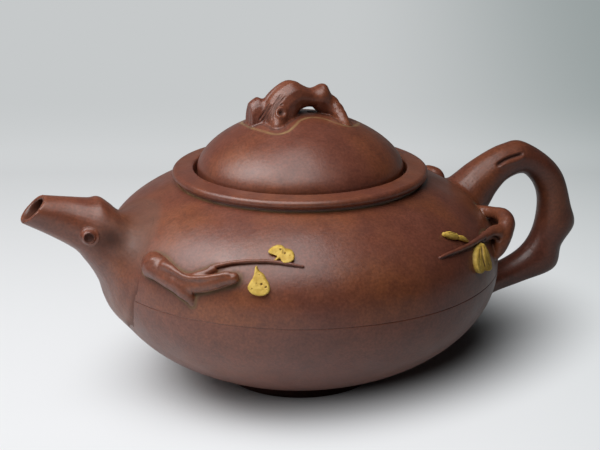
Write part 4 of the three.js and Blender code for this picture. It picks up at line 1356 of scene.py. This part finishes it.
# %% Turn the body's two halves
bowl_inside = offset_curve(bowl_curve, BODY_WALL)
floor = FOOT_HEIGHT + BODY_WALL
bowl_inside = bowl_inside[(bowl_inside[:, 1] > floor + 0.5) & (bowl_inside[:, 1] < SEAM_HEIGHT - 0.3)]
bowl_outline = [
    (0, FOOT_HEIGHT), *bowl_curve[:-1], (BELLY_RADIUS, SEAM_HEIGHT), (BELLY_RADIUS - BODY_WALL, SEAM_HEIGHT),
    *bowl_inside[::-1], (bowl_inside[0][0] - 2, floor), (0, floor),
]
turned_piece(
    "lower_bowl", bowl_outline, {len(bowl_curve): SEAM_EDGE}, "bowl_clay", "bowl",
    wall_distance, body_tea, luted,
)

OPENING_CLEARANCE = 0.3
shoulder_inside = offset_curve(shoulder_curve, BODY_WALL)
opening_radius = LEDGE_OUTSIDE + OPENING_CLEARANCE
keep = (shoulder_inside[:, 0] > opening_radius + 0.2) & (shoulder_inside[:, 1] > SEAM_HEIGHT + 0.3)
shoulder_inside = shoulder_inside[keep]
shoulder_outline = [
    (BELLY_RADIUS - BODY_WALL, SEAM_HEIGHT), (BELLY_RADIUS, SEAM_HEIGHT), *shoulder_curve[1:],
    (opening_radius, SEAT_HEIGHT), (opening_radius, shoulder_inside[-1][1]), *shoulder_inside[::-1],
]
shoulder = turned_piece(
    "upper_shoulder", shoulder_outline, {1: SEAM_EDGE},
    form=wall_distance, tea_from=body_tea, limbs=luted,
)

# %% Turn the collar, the ledge and the foot
bead_radius = BEAD_THICKNESS / 2
bead_height = COLLAR_TOP - COLLAR_FALL - bead_radius
bead_angle = np.linspace(-0.5, 0.5, 25) * math.pi
bead_out = COLLAR_RADIUS - bead_radius * (1 - np.cos(bead_angle))
bead = np.stack([bead_out, bead_height + bead_radius * np.sin(bead_angle)], 1)
collar_outline = [
    (MOUTH_RADIUS, SEAT_HEIGHT), (NECK_RADIUS, SEAT_HEIGHT), (NECK_RADIUS, bead_height - bead_radius),
    *bead, (MOUTH_RADIUS, COLLAR_TOP),
]
turned_piece(
    "mouth_collar", collar_outline, {0: SEAT_EDGE, -1: WIPED_EDGE * 2},
    tea_from=lambda points: points[:, 2] - SEAT_HEIGHT,
)

ledge_outline = [
    (LEDGE_RADIUS, LEDGE_BOTTOM), (LEDGE_OUTSIDE, LEDGE_BOTTOM), (LEDGE_OUTSIDE, SEAT_HEIGHT),
    (LEDGE_RADIUS, SEAT_HEIGHT),
]
turned_piece("lid_ledge", ledge_outline, {0: LEDGE_EDGE, 3: LEDGE_EDGE})

foot_outline = [(0, 0), (FOOT_RADIUS, 0), (FOOT_RADIUS, FOOT_HEIGHT), (0, FOOT_HEIGHT)]
foot_points, foot_faces = turned(wiped(foot_outline, (0, FOOT_EDGE, 0, 0)))
# The whole foot is darkened with painted shade, as it stands in the shadow under the bowl.
make_piece("foot_disc", foot_points, foot_faces, clay="bowl", groove=np.ones(len(foot_points)))

# %% Turn the lid and its flange
flange_inside = FLANGE_RADIUS - FLANGE_WALL
lid_inside = offset_curve(lid_curve, LID_WALL)
keep = (lid_inside[:, 0] > 0.4) & (lid_inside[:, 0] < flange_inside) & (lid_inside[:, 1] > LID_UNDERSIDE)
lid_inside = lid_inside[keep]
lid_outline = [
    (0, LID_APEX - LID_WALL), *lid_inside[::-1], (flange_inside, LID_UNDERSIDE),
    (LID_RADIUS, LID_UNDERSIDE), *lid_curve[:-1], (0, LID_APEX),
]
lid = turned_piece(
    "lid_dome", lid_outline, {len(lid_inside) + 2: WIPED_EDGE}, "lid_clay",
    form=lid_distance, tea_from=lid_tea, limbs=[(knob_block, knob_shape, KNOB_FILLET)],
)

flange_outline = [
    (flange_inside, FLANGE_BOTTOM), (FLANGE_RADIUS, FLANGE_BOTTOM), (FLANGE_RADIUS, LID_UNDERSIDE),
    (flange_inside, LID_UNDERSIDE),
]
turned_piece("lid_flange", flange_outline, {0: FLANGE_EDGE, 1: FLANGE_EDGE}, "lid_clay")

# %% [markdown]
# ## Holes
#
# Two holes go through the walls: the steam hole beside the knob's arch, and the opening behind the
# spout that takes the strainer. They are drilled with a rod, as they are in leather-hard clay.

# %% Drill the steam hole and the strainer's opening
def drilled(piece, radius, start, end, facets):
    """Cuts a round hole through a piece between two points, in millimetres."""
    along = (end - start) / np.linalg.norm(end - start)
    side = np.cross(along, (0, 1, 0) if abs(along[1]) < 0.9 else (1, 0, 0))
    side /= np.linalg.norm(side)
    angle = np.linspace(0, 2 * math.pi, facets, endpoint=False)
    ring = radius * (np.cos(angle)[:, None] * side + np.sin(angle)[:, None] * np.cross(along, side))
    points, quads, triangles = skin([start + ring, end + ring])
    faces = quads.tolist() + triangles.tolist()
    faces = faces if outward(points, faces) else [f[::-1] for f in faces]
    rod = new_object("rod", points * MM, faces)
    cut = piece.modifiers.new("hole", "BOOLEAN")
    cut.object, cut.operation, cut.solver = rod, "DIFFERENCE", "EXACT"
    bpy.context.view_layer.update()
    evaluated = piece.evaluated_get(bpy.context.evaluated_depsgraph_get())
    piece.data = bpy.data.meshes.new_from_object(evaluated)
    piece.modifiers.clear()
    bpy.data.objects.remove(rod)
    print(f"{piece.name}: {len(piece.data.polygons)} faces after drilling")


ROD_INSIDE, ROD_OUTSIDE = 12, 8
steam_hole = np.array([STEAM_HOLE_PLACE, 0, LID_APEX])
rod_ends = steam_hole - (0, 0, 3 * LID_WALL), steam_hole + (0, 0, LID_WALL)
drilled(lid, STEAM_HOLE_RADIUS, *rod_ends, facets=24)
strainer_out = wall_normal(180, STRAINER_ABOVE)
strainer_middle = wall_point(180, STRAINER_ABOVE)
rod_ends = strainer_middle - ROD_INSIDE * strainer_out, strainer_middle + ROD_OUTSIDE * strainer_out
drilled(shoulder, STRAINER_OPENING, *rod_ends, facets=96)

# %% [markdown]
# ## The strainer
#
# Behind the spout sits a small bulb with nineteen holes that holds back the leaves. It is pressed
# over a ball and pierced with a needle from outside.

# %% Model the strainer
STRAINER_WALL = 1.6
STRAINER_BULGE = 5
STRAINER_SKIRT = 3
STRAINER_HOLE = 1.05
STRAINER_RINGS = ((0, 1), (3.1, 6), (6, 12))  # the radius of a ring of holes, then its count
STRAINER_CLEARANCE = 0.3
STRAINER_SUNK = 0.35  # the bulb ends this far under the wall's outside
STRAINER_ROOM = 14
strainer_block = Block(strainer_middle - STRAINER_ROOM, strainer_middle + STRAINER_ROOM, FINE)
up_wall = np.cross(strainer_out, (0, 1, 0))
middle_x, middle_y, middle_z = strainer_middle
offset = (strainer_block.x - middle_x, strainer_block.y - middle_y, strainer_block.z - middle_z)
up_part = sum(a * b for a, b in zip(offset, up_wall))
side_part = offset[1] + 0 * up_part


def bulb_rings(radius, bulge):
    """Rings of a bulb that opens outwards at the wall."""
    angle = np.linspace(0.02, 0.5 * math.pi, 14)
    rows = [(radius * math.sin(a), -STRAINER_SKIRT - bulge * math.cos(a)) for a in angle]
    rows += [(radius, 0), (radius, 3)]
    turn = np.linspace(0, 2 * math.pi, 64, endpoint=False)[:, None]
    circle = np.cos(turn) * up_wall + np.sin(turn) * [0, 1, 0]
    return [strainer_middle + out * strainer_out + wide * circle for wide, out in rows]


bulb_radius = STRAINER_OPENING - STRAINER_CLEARANCE
bulb = strainer_block.skinned(bulb_rings(bulb_radius, STRAINER_BULGE), 2)
inner_rings = bulb_rings(bulb_radius - STRAINER_WALL, STRAINER_BULGE - STRAINER_WALL)
bulb_field = carved(bulb, strainer_block.skinned(inner_rings, 2), 0.4)
for ring_radius, count in STRAINER_RINGS:
    for turn in range(count):
        angle = 2 * math.pi * turn / count
        hole_up, hole_side = ring_radius * math.cos(angle), ring_radius * math.sin(angle)
        away = np.sqrt((up_part - hole_up) ** 2 + (side_part - hole_side) ** 2)
        bulb_field = carved(bulb_field, away - STRAINER_HOLE, 0.3)
bulb_field = cut_off(bulb_field, on_wall(strainer_block) + STRAINER_SUNK)
points, faces, normals = drawn(strainer_block, bulb_field)
make_piece("spout_strainer", points, faces, hollow=np.ones(len(points)))

# %% [markdown]
# ## Fired clay
#
# The pot is fine red stoneware, fired without glaze. Its skin was burnished with horn while
# leather-hard, which lays the clay flat and leaves a soft sheen over it, rougher where the tool
# didn't reach. Inside the clay are sand grains of a few tenths of a millimetre, some lighter and
# some darker, and the kiln leaves slow drifts of colour over the width of two fingers.

# %% Colours and nodes
def colour(hexadecimal):
    """A linear colour with alpha from an sRGB hex value."""
    channels = [int(hexadecimal[i:i + 2], 16) / 255 for i in (1, 3, 5)]
    return [c / 12.92 if c <= 0.04045 else ((c + 0.055) / 1.055) ** 2.4 for c in channels] + [1.0]


def add(tree, kind, inputs=None, **settings):
    """Adds a node with its settings, values and links."""
    node = tree.nodes.new(kind)
    for setting, value in settings.items():
        setattr(node, setting, value)
    for socket, value in (inputs or {}).items():
        if isinstance(value, bpy.types.NodeSocket):
            tree.links.new(value, node.inputs[socket])
        else:
            node.inputs[socket].default_value = value
    return node


def per_mm(size):
    """The texture scale for a pattern of a real size in millimetres."""
    return 1 / (size * MM)


def blank(name):
    """A material without nodes, and its tree."""
    material = bpy.data.materials.new(name)
    material.use_nodes = True
    material.node_tree.nodes.clear()
    return material, material.node_tree


# %% Burnished red stoneware
# The third colour is the dark brown of painted shade, put in marks and hollows, round limbs, on undersides
# and on the foot.
BROWN_STAIN, PALE_TEA, PAINTED_SHADE_BROWN, TEA_BROWN = "#54392a", "#a58a5e", "#2a1712", "#3c241b"


def stoneware(name, deep, middle, warm, roughness):
    """Unglazed clay: slow kiln drifts, blotches, sand grains, tea in its joints, painted shade and a
    burnished sheen.
    """
    material, tree = blank(name)
    place = add(tree, "ShaderNodeTexCoord").outputs["Object"]
    # The kiln's slow drift from brown to orange is as wide as two fingers. Blotches a fingertip wide show
    # where the clay took less polish. Sand of 0.2 to 0.4 mm would vanish at this distance, so it is drawn
    # at 0.8 mm. Tea dries in patches, and rubbing has worn the sheen unevenly.
    shares = {}
    for pattern, size, detail, fineness, start, end, low, high in (
        ("drift", 30, 2.0, 0.5, 0.42, 0.68, 0.0, 1.0),
        ("blotch", 6, 4.0, 0.62, 0.42, 0.72, 0.0, 0.6),
        ("sand", 0.8, 2.0, 0.5, 0.3, 0.7, 0.8, 1.2),
        ("patches", 4, 3.0, 0.5, 0.35, 0.6, 0.5, 1.0),
        ("wear", 9, 3.0, 0.5, 0.3, 0.7, roughness - 0.05, roughness + 0.07),
    ):
        noise = add(
            tree, "ShaderNodeTexNoise",
            {"Vector": place, "Scale": per_mm(size), "Detail": detail, "Roughness": fineness},
        )
        shares[pattern] = add(
            tree, "ShaderNodeMapRange",
            {
                "Value": noise.outputs["Fac"], "From Min": start, "From Max": end,
                "To Min": low, "To Max": high,
            },
        ).outputs[0]
    marks = {}
    for mark in ("stain", "tea", "groove", "hollow"):
        marks[mark] = add(tree, "ShaderNodeAttribute", attribute_name=mark).outputs["Fac"]
    tea_line = add(
        tree, "ShaderNodeMapRange",
        {"Value": marks["tea"], "From Min": 0.72, "From Max": 0.97, "To Max": 0.6},
        interpolation_type="SMOOTHSTEP",
    ).outputs[0]
    for share, mark, strength in (
        ("tea", tea_line, shares["patches"]), ("groove", marks["groove"], 0.8),
        ("hollow", marks["hollow"], 0.6),
    ):
        shares[share] = add(tree, "ShaderNodeMath", {0: mark, 1: strength}, operation="MULTIPLY").outputs[0]
    # Over the clay's own colours lie the sand, a broad brown stain round the spout's root where tea runs
    # back, dried tea as a thin pale line along the joints, dark painted shade in marks and hollows, round
    # limbs, on undersides and on the foot, and the brown of years of tea inside the pot.
    tone = colour(middle)
    for share, over, blend in (
        (shares["drift"], colour(warm), "MIX"), (shares["blotch"], colour(deep), "MIX"),
        (1.0, shares["sand"], "MULTIPLY"), (marks["stain"], colour(BROWN_STAIN), "MIX"),
        (shares["tea"], colour(PALE_TEA), "MIX"), (shares["groove"], colour(PAINTED_SHADE_BROWN), "MIX"),
        (shares["hollow"], colour(TEA_BROWN), "MIX"),
    ):
        tone = add(
            tree, "ShaderNodeMix", {0: share, 6: tone, 7: over}, data_type="RGBA", blend_type=blend
        ).outputs[2]
    # The stain and the painted shade also make the clay rougher, which dulls the sheen.
    stain_or_shade = add(tree, "ShaderNodeMath", {0: marks["stain"], 1: marks["groove"]}, operation="MAXIMUM")
    rough = add(
        tree, "ShaderNodeMath", {0: stain_or_shade.outputs[0], 1: 0.7, 2: shares["wear"]}, operation="MULTIPLY_ADD"
    )
    # Fine grit and the scraper's shallow waves break the highlight.
    grit = add(
        tree, "ShaderNodeTexNoise", {"Vector": place, "Scale": per_mm(0.7), "Detail": 3.0, "Roughness": 0.6}
    )
    scrape = add(tree, "ShaderNodeTexNoise", {"Vector": place, "Scale": per_mm(3.2), "Detail": 2.0})
    relief = add(
        tree, "ShaderNodeMath", {0: scrape.outputs["Fac"], 1: 1.6, 2: grit.outputs["Fac"]},
        operation="MULTIPLY_ADD",
    )
    bump = add(
        tree, "ShaderNodeBump", {"Height": relief.outputs[0], "Strength": 0.5, "Distance": 0.11 * MM}
    )
    shader = add(
        tree, "ShaderNodeBsdfPrincipled",
        {
            "Base Color": tone, "Roughness": rough.outputs[0], "Normal": bump.outputs[0],
            "IOR": 1.55, "Coat Weight": 0.1, "Coat Roughness": 0.28,
        },
    )
    add(tree, "ShaderNodeOutputMaterial", {"Surface": shader.outputs[0]})
    return material


clays["burnished"] = stoneware("burnished_red_stoneware", "#5c3227", "#744233", "#844c30", 0.35)
# The bowl's copy of the clay is a little greyer and less orange than the shoulder's: a painted reflection of
# the pale floor in the underside.
clays["bowl"] = stoneware("bowl_stoneware_with_painted_reflection", "#5c3328", "#724234", "#7b4633", 0.37)

# %% Matt yellow clay
def yellow_clay():
    """Yellow clay pressed on by hand: matt, with brown painted shade in its pricks and along its rim."""
    material, tree = blank("matt_yellow_clay")
    place = add(tree, "ShaderNodeTexCoord").outputs["Object"]
    cloud = add(tree, "ShaderNodeTexNoise", {"Vector": place, "Scale": per_mm(2.4), "Detail": 3.0})
    share = add(
        tree, "ShaderNodeMapRange", {"Value": cloud.outputs["Fac"], "From Min": 0.35, "From Max": 0.65}
    )
    # Brown painted shade in the pricks and creases and along the rim where the piece meets the wall.
    shade_share = add(tree, "ShaderNodeAttribute", attribute_name="groove")
    tone = colour("#c39c3b")
    for how_much, over in ((share.outputs[0], "#ddba58"), (shade_share.outputs["Fac"], "#5d3d22")):
        tone = add(
            tree, "ShaderNodeMix", {0: how_much, 6: tone, 7: colour(over)}, data_type="RGBA"
        ).outputs[2]
    grit = add(tree, "ShaderNodeTexNoise", {"Vector": place, "Scale": per_mm(0.5), "Detail": 3.0})
    bump = add(
        tree, "ShaderNodeBump", {"Height": grit.outputs["Fac"], "Strength": 0.6, "Distance": 0.12 * MM}
    )
    shader = add(
        tree, "ShaderNodeBsdfPrincipled",
        {"Base Color": tone, "Roughness": 0.62, "Normal": bump.outputs[0], "IOR": 1.5},
    )
    add(tree, "ShaderNodeOutputMaterial", {"Surface": shader.outputs[0]})
    return material


clays["yellow"] = yellow_clay()
for piece, clay in made_pieces:
    piece.data.materials.clear()
    piece.data.materials.append(clays[clay])
print("clays:", ", ".join(clays))

# %% [markdown]
# ## The table, the light and the camera
#
# The pot stands on a pale sweep: a floor that bends up into a backdrop behind it. It is lit by a
# wide diffuser overhead and to the left, so the right side falls into shade and the shadow stays
# close to the pot. Away from the pot the sweep glows with its own pale tone, a painted light, to
# the camera through Light Path and at a third of that strength in the pot's sheen. That tone darkens
# to the back, the right and the top, a painted falloff of light. The light that the sweep bounces
# comes from the sheet's plain colour, which is darker to the right as painted shade, so that the
# pot's right side stays in shade.

# %% Shape the pale sweep
FLOOR_HALF_WIDTH = 2.6
FLOOR_FRONT = -2.6
BEND_START = 0.42
BEND_RADIUS = 0.5
BACK_HEIGHT = 1.3
SWEEP_TURN = math.radians(-20)
SWEEP_BACK = (-math.sin(SWEEP_TURN), math.cos(SWEEP_TURN), 0)
SWEEP_RIGHT = (math.cos(SWEEP_TURN), math.sin(SWEEP_TURN), 0)


def pale_sweep():
    """A floor that bends up into a backdrop, turned to face the camera."""
    bend = np.linspace(0, math.pi / 2, 24)
    rows = [(FLOOR_FRONT, 0)]
    rows += [(BEND_START + BEND_RADIUS * math.sin(a), BEND_RADIUS * (1 - math.cos(a))) for a in bend]
    rows += [(BEND_START + BEND_RADIUS, BACK_HEIGHT)]
    points = [
        np.multiply(SWEEP_BACK, back) + np.multiply(SWEEP_RIGHT, right) + (0, 0, up)
        for back, up in rows for right in (-FLOOR_HALF_WIDTH, FLOOR_HALF_WIDTH)
    ]
    faces = [(2 * i, 2 * i + 1, 2 * i + 3, 2 * i + 2) for i in range(len(rows) - 1)]
    sweep = new_object("sweep", points, faces)
    sweep.data.shade_smooth()
    return sweep


sweep = pale_sweep()
print(f"sweep: {len(sweep.data.polygons)} strips")

# %% Pale paper
SHADOW_MIDDLE = (0.024, 0.016, 0)
SHADOW_TURN = math.radians(20)
SHADOW_STRETCH = 1.5
GLOW_IN_SHEEN = 0.35  # how strongly the sheet's painted glow shows in the pot's sheen
GLOW_BESIDE = 0.88  # and to the camera beside the pot


def pale_paper():
    """Matt paper. Away from the pot's shadow it glows with its own tone, a painted light which fades to
    the back and right. For the light that it bounces it has a plain colour, which is darker to the
    right as painted shade."""
    material, tree = blank("pale_paper")
    place = add(tree, "ShaderNodeTexCoord").outputs["Object"]
    back, right = [
        add(tree, "ShaderNodeVectorMath", {0: place, 1: way}, operation="DOT_PRODUCT").outputs["Value"]
        for way in (SWEEP_BACK, SWEEP_RIGHT)
    ]
    up = add(tree, "ShaderNodeSeparateXYZ", {0: place}).outputs["Z"]
    # The pot's real shadow lies in an oblong patch to the right of the pot, so its ring is stretched
    # that way. Outside the patch the painted glow takes over.
    patch = add(
        tree, "ShaderNodeMapping",
        {
            "Vector": place, "Location": SHADOW_MIDDLE, "Rotation": (0, 0, SHADOW_TURN),
            "Scale": (SHADOW_STRETCH, 1, 1),
        },
        vector_type="TEXTURE",
    )
    away = add(tree, "ShaderNodeVectorMath", {0: patch.outputs[0]}, operation="LENGTH").outputs["Value"]
    shares = {}
    for name, value, start, end in (
        ("shade", right, 0.02, 0.22), ("far", back, -0.05, 0.42), ("high", up, 0.1, 0.5),
        ("clear", away, 0.034, 0.078), ("behind", back, 0.06, 0.3), ("dim", right, -0.03, 0.1),
    ):
        shares[name] = add(
            tree, "ShaderNodeMapRange", {"Value": value, "From Min": start, "From Max": end},
            interpolation_type="SMOOTHSTEP",
        ).outputs[0]
    # The glow's tone darkens to the right and to the back, and to dark grey higher up: a painted falloff of
    # light. The sheet's plain colour darkens to the right: painted shade.
    near, far, sheet = [
        add(
            tree, "ShaderNodeMix", {0: shares[share], 6: colour(lit), 7: colour(dim)}, data_type="RGBA"
        ).outputs[2]
        for share, lit, dim in (
            ("shade", "#f2f3f5", "#dce2e3"), ("shade", "#c6c9ca", "#98a0a0"), ("dim", "#e3e5e7", "#8b8e90")
        )
    ]
    tone = near
    for share, over in ((shares["far"], far), (shares["high"], colour("#4a4d4f"))):
        tone = add(tree, "ShaderNodeMix", {0: share, 6: tone, 7: over}, data_type="RGBA").outputs[2]
    ray = add(tree, "ShaderNodeLightPath").outputs
    seen_by = ray["Is Glossy Ray"]
    for operation, value in (
        ("MULTIPLY", GLOW_IN_SHEEN), ("MAXIMUM", ray["Is Camera Ray"]), ("MAXIMUM", ray["Is Transmission Ray"])
    ):
        seen_by = add(tree, "ShaderNodeMath", {0: seen_by, 1: value}, operation=operation).outputs[0]
    # The painted glow shows to the camera beside and behind the pot, and at a third of its strength in the
    # pot's sheen.
    glow_share = shares["clear"]
    for operation, value in (
        ("MULTIPLY", GLOW_BESIDE), ("MAXIMUM", shares["behind"]), ("MULTIPLY", seen_by)
    ):
        glow_share = add(tree, "ShaderNodeMath", {0: glow_share, 1: value}, operation=operation).outputs[0]
    paper = add(tree, "ShaderNodeBsdfPrincipled", {"Base Color": sheet, "Roughness": 0.9})
    # This glow is painted light; the paper is no lamp.
    own = add(tree, "ShaderNodeEmission", {"Color": tone, "Strength": 1.0})
    shown = add(tree, "ShaderNodeMixShader", {0: glow_share, 1: paper.outputs[0], 2: own.outputs[0]})
    add(tree, "ShaderNodeOutputMaterial", {"Surface": shown.outputs[0]})
    return material


sweep.data.materials.append(pale_paper())

# %% Light
POT_MIDDLE = (0, 0, 0.05)


def aimed(name, data, place, aim):
    """Puts a lamp or a camera at a place and turns it to look at a point."""
    thing = bpy.data.objects.new(name, data)
    thing.location = place
    thing.rotation_euler = (Vector(aim) - Vector(place)).to_track_quat("-Z", "Y").to_euler()
    bpy.context.scene.collection.objects.link(thing)
    return thing


for name, place, aim, wide, high, power in (
    ("wide_diffuser", (-0.17, -0.137, 0.36), (-0.17, -0.136, 0), 0.41, 0.36, 1.45),
    ("window", (-0.235, 0.04, 0.295), POT_MIDDLE, 0.22, 0.22, 0.5),
    ("left_wall", (-0.42, 0, 0.16), POT_MIDDLE, 0.28, 0.28, 0.07),
):
    lamp = bpy.data.lights.new(name, "AREA")
    lamp.shape = "RECTANGLE"
    lamp.size, lamp.size_y = wide, high
    lamp.energy = power
    aimed(name, lamp, place, aim)
    print(f"{name}: {power} W from {wide} by {high} m")
world = bpy.data.worlds.new("room")
world.use_nodes = True
room = world.node_tree.nodes["Background"].inputs
room["Color"].default_value = colour("#eef1f5")
room["Strength"].default_value = 0.01
bpy.context.scene.world = world
bpy.context.scene.view_settings.view_transform = "Standard"

# %% Camera
CAMERA_PLACE = (-0.1698, -0.4663, 0.2061)
CAMERA_AIM = (0, 0, 0.0509)
SENSOR_WIDTH, LENS_LENGTH = 36, 94.93  # millimetres
lens = bpy.data.cameras.new("camera")
lens.sensor_width = SENSOR_WIDTH
lens.lens = LENS_LENGTH
bpy.context.scene.camera = aimed("camera", lens, CAMERA_PLACE, CAMERA_AIM)
print(f"camera: {lens.lens:.1f} mm lens, {math.dist(CAMERA_PLACE, CAMERA_AIM):.2f} m from the pot")
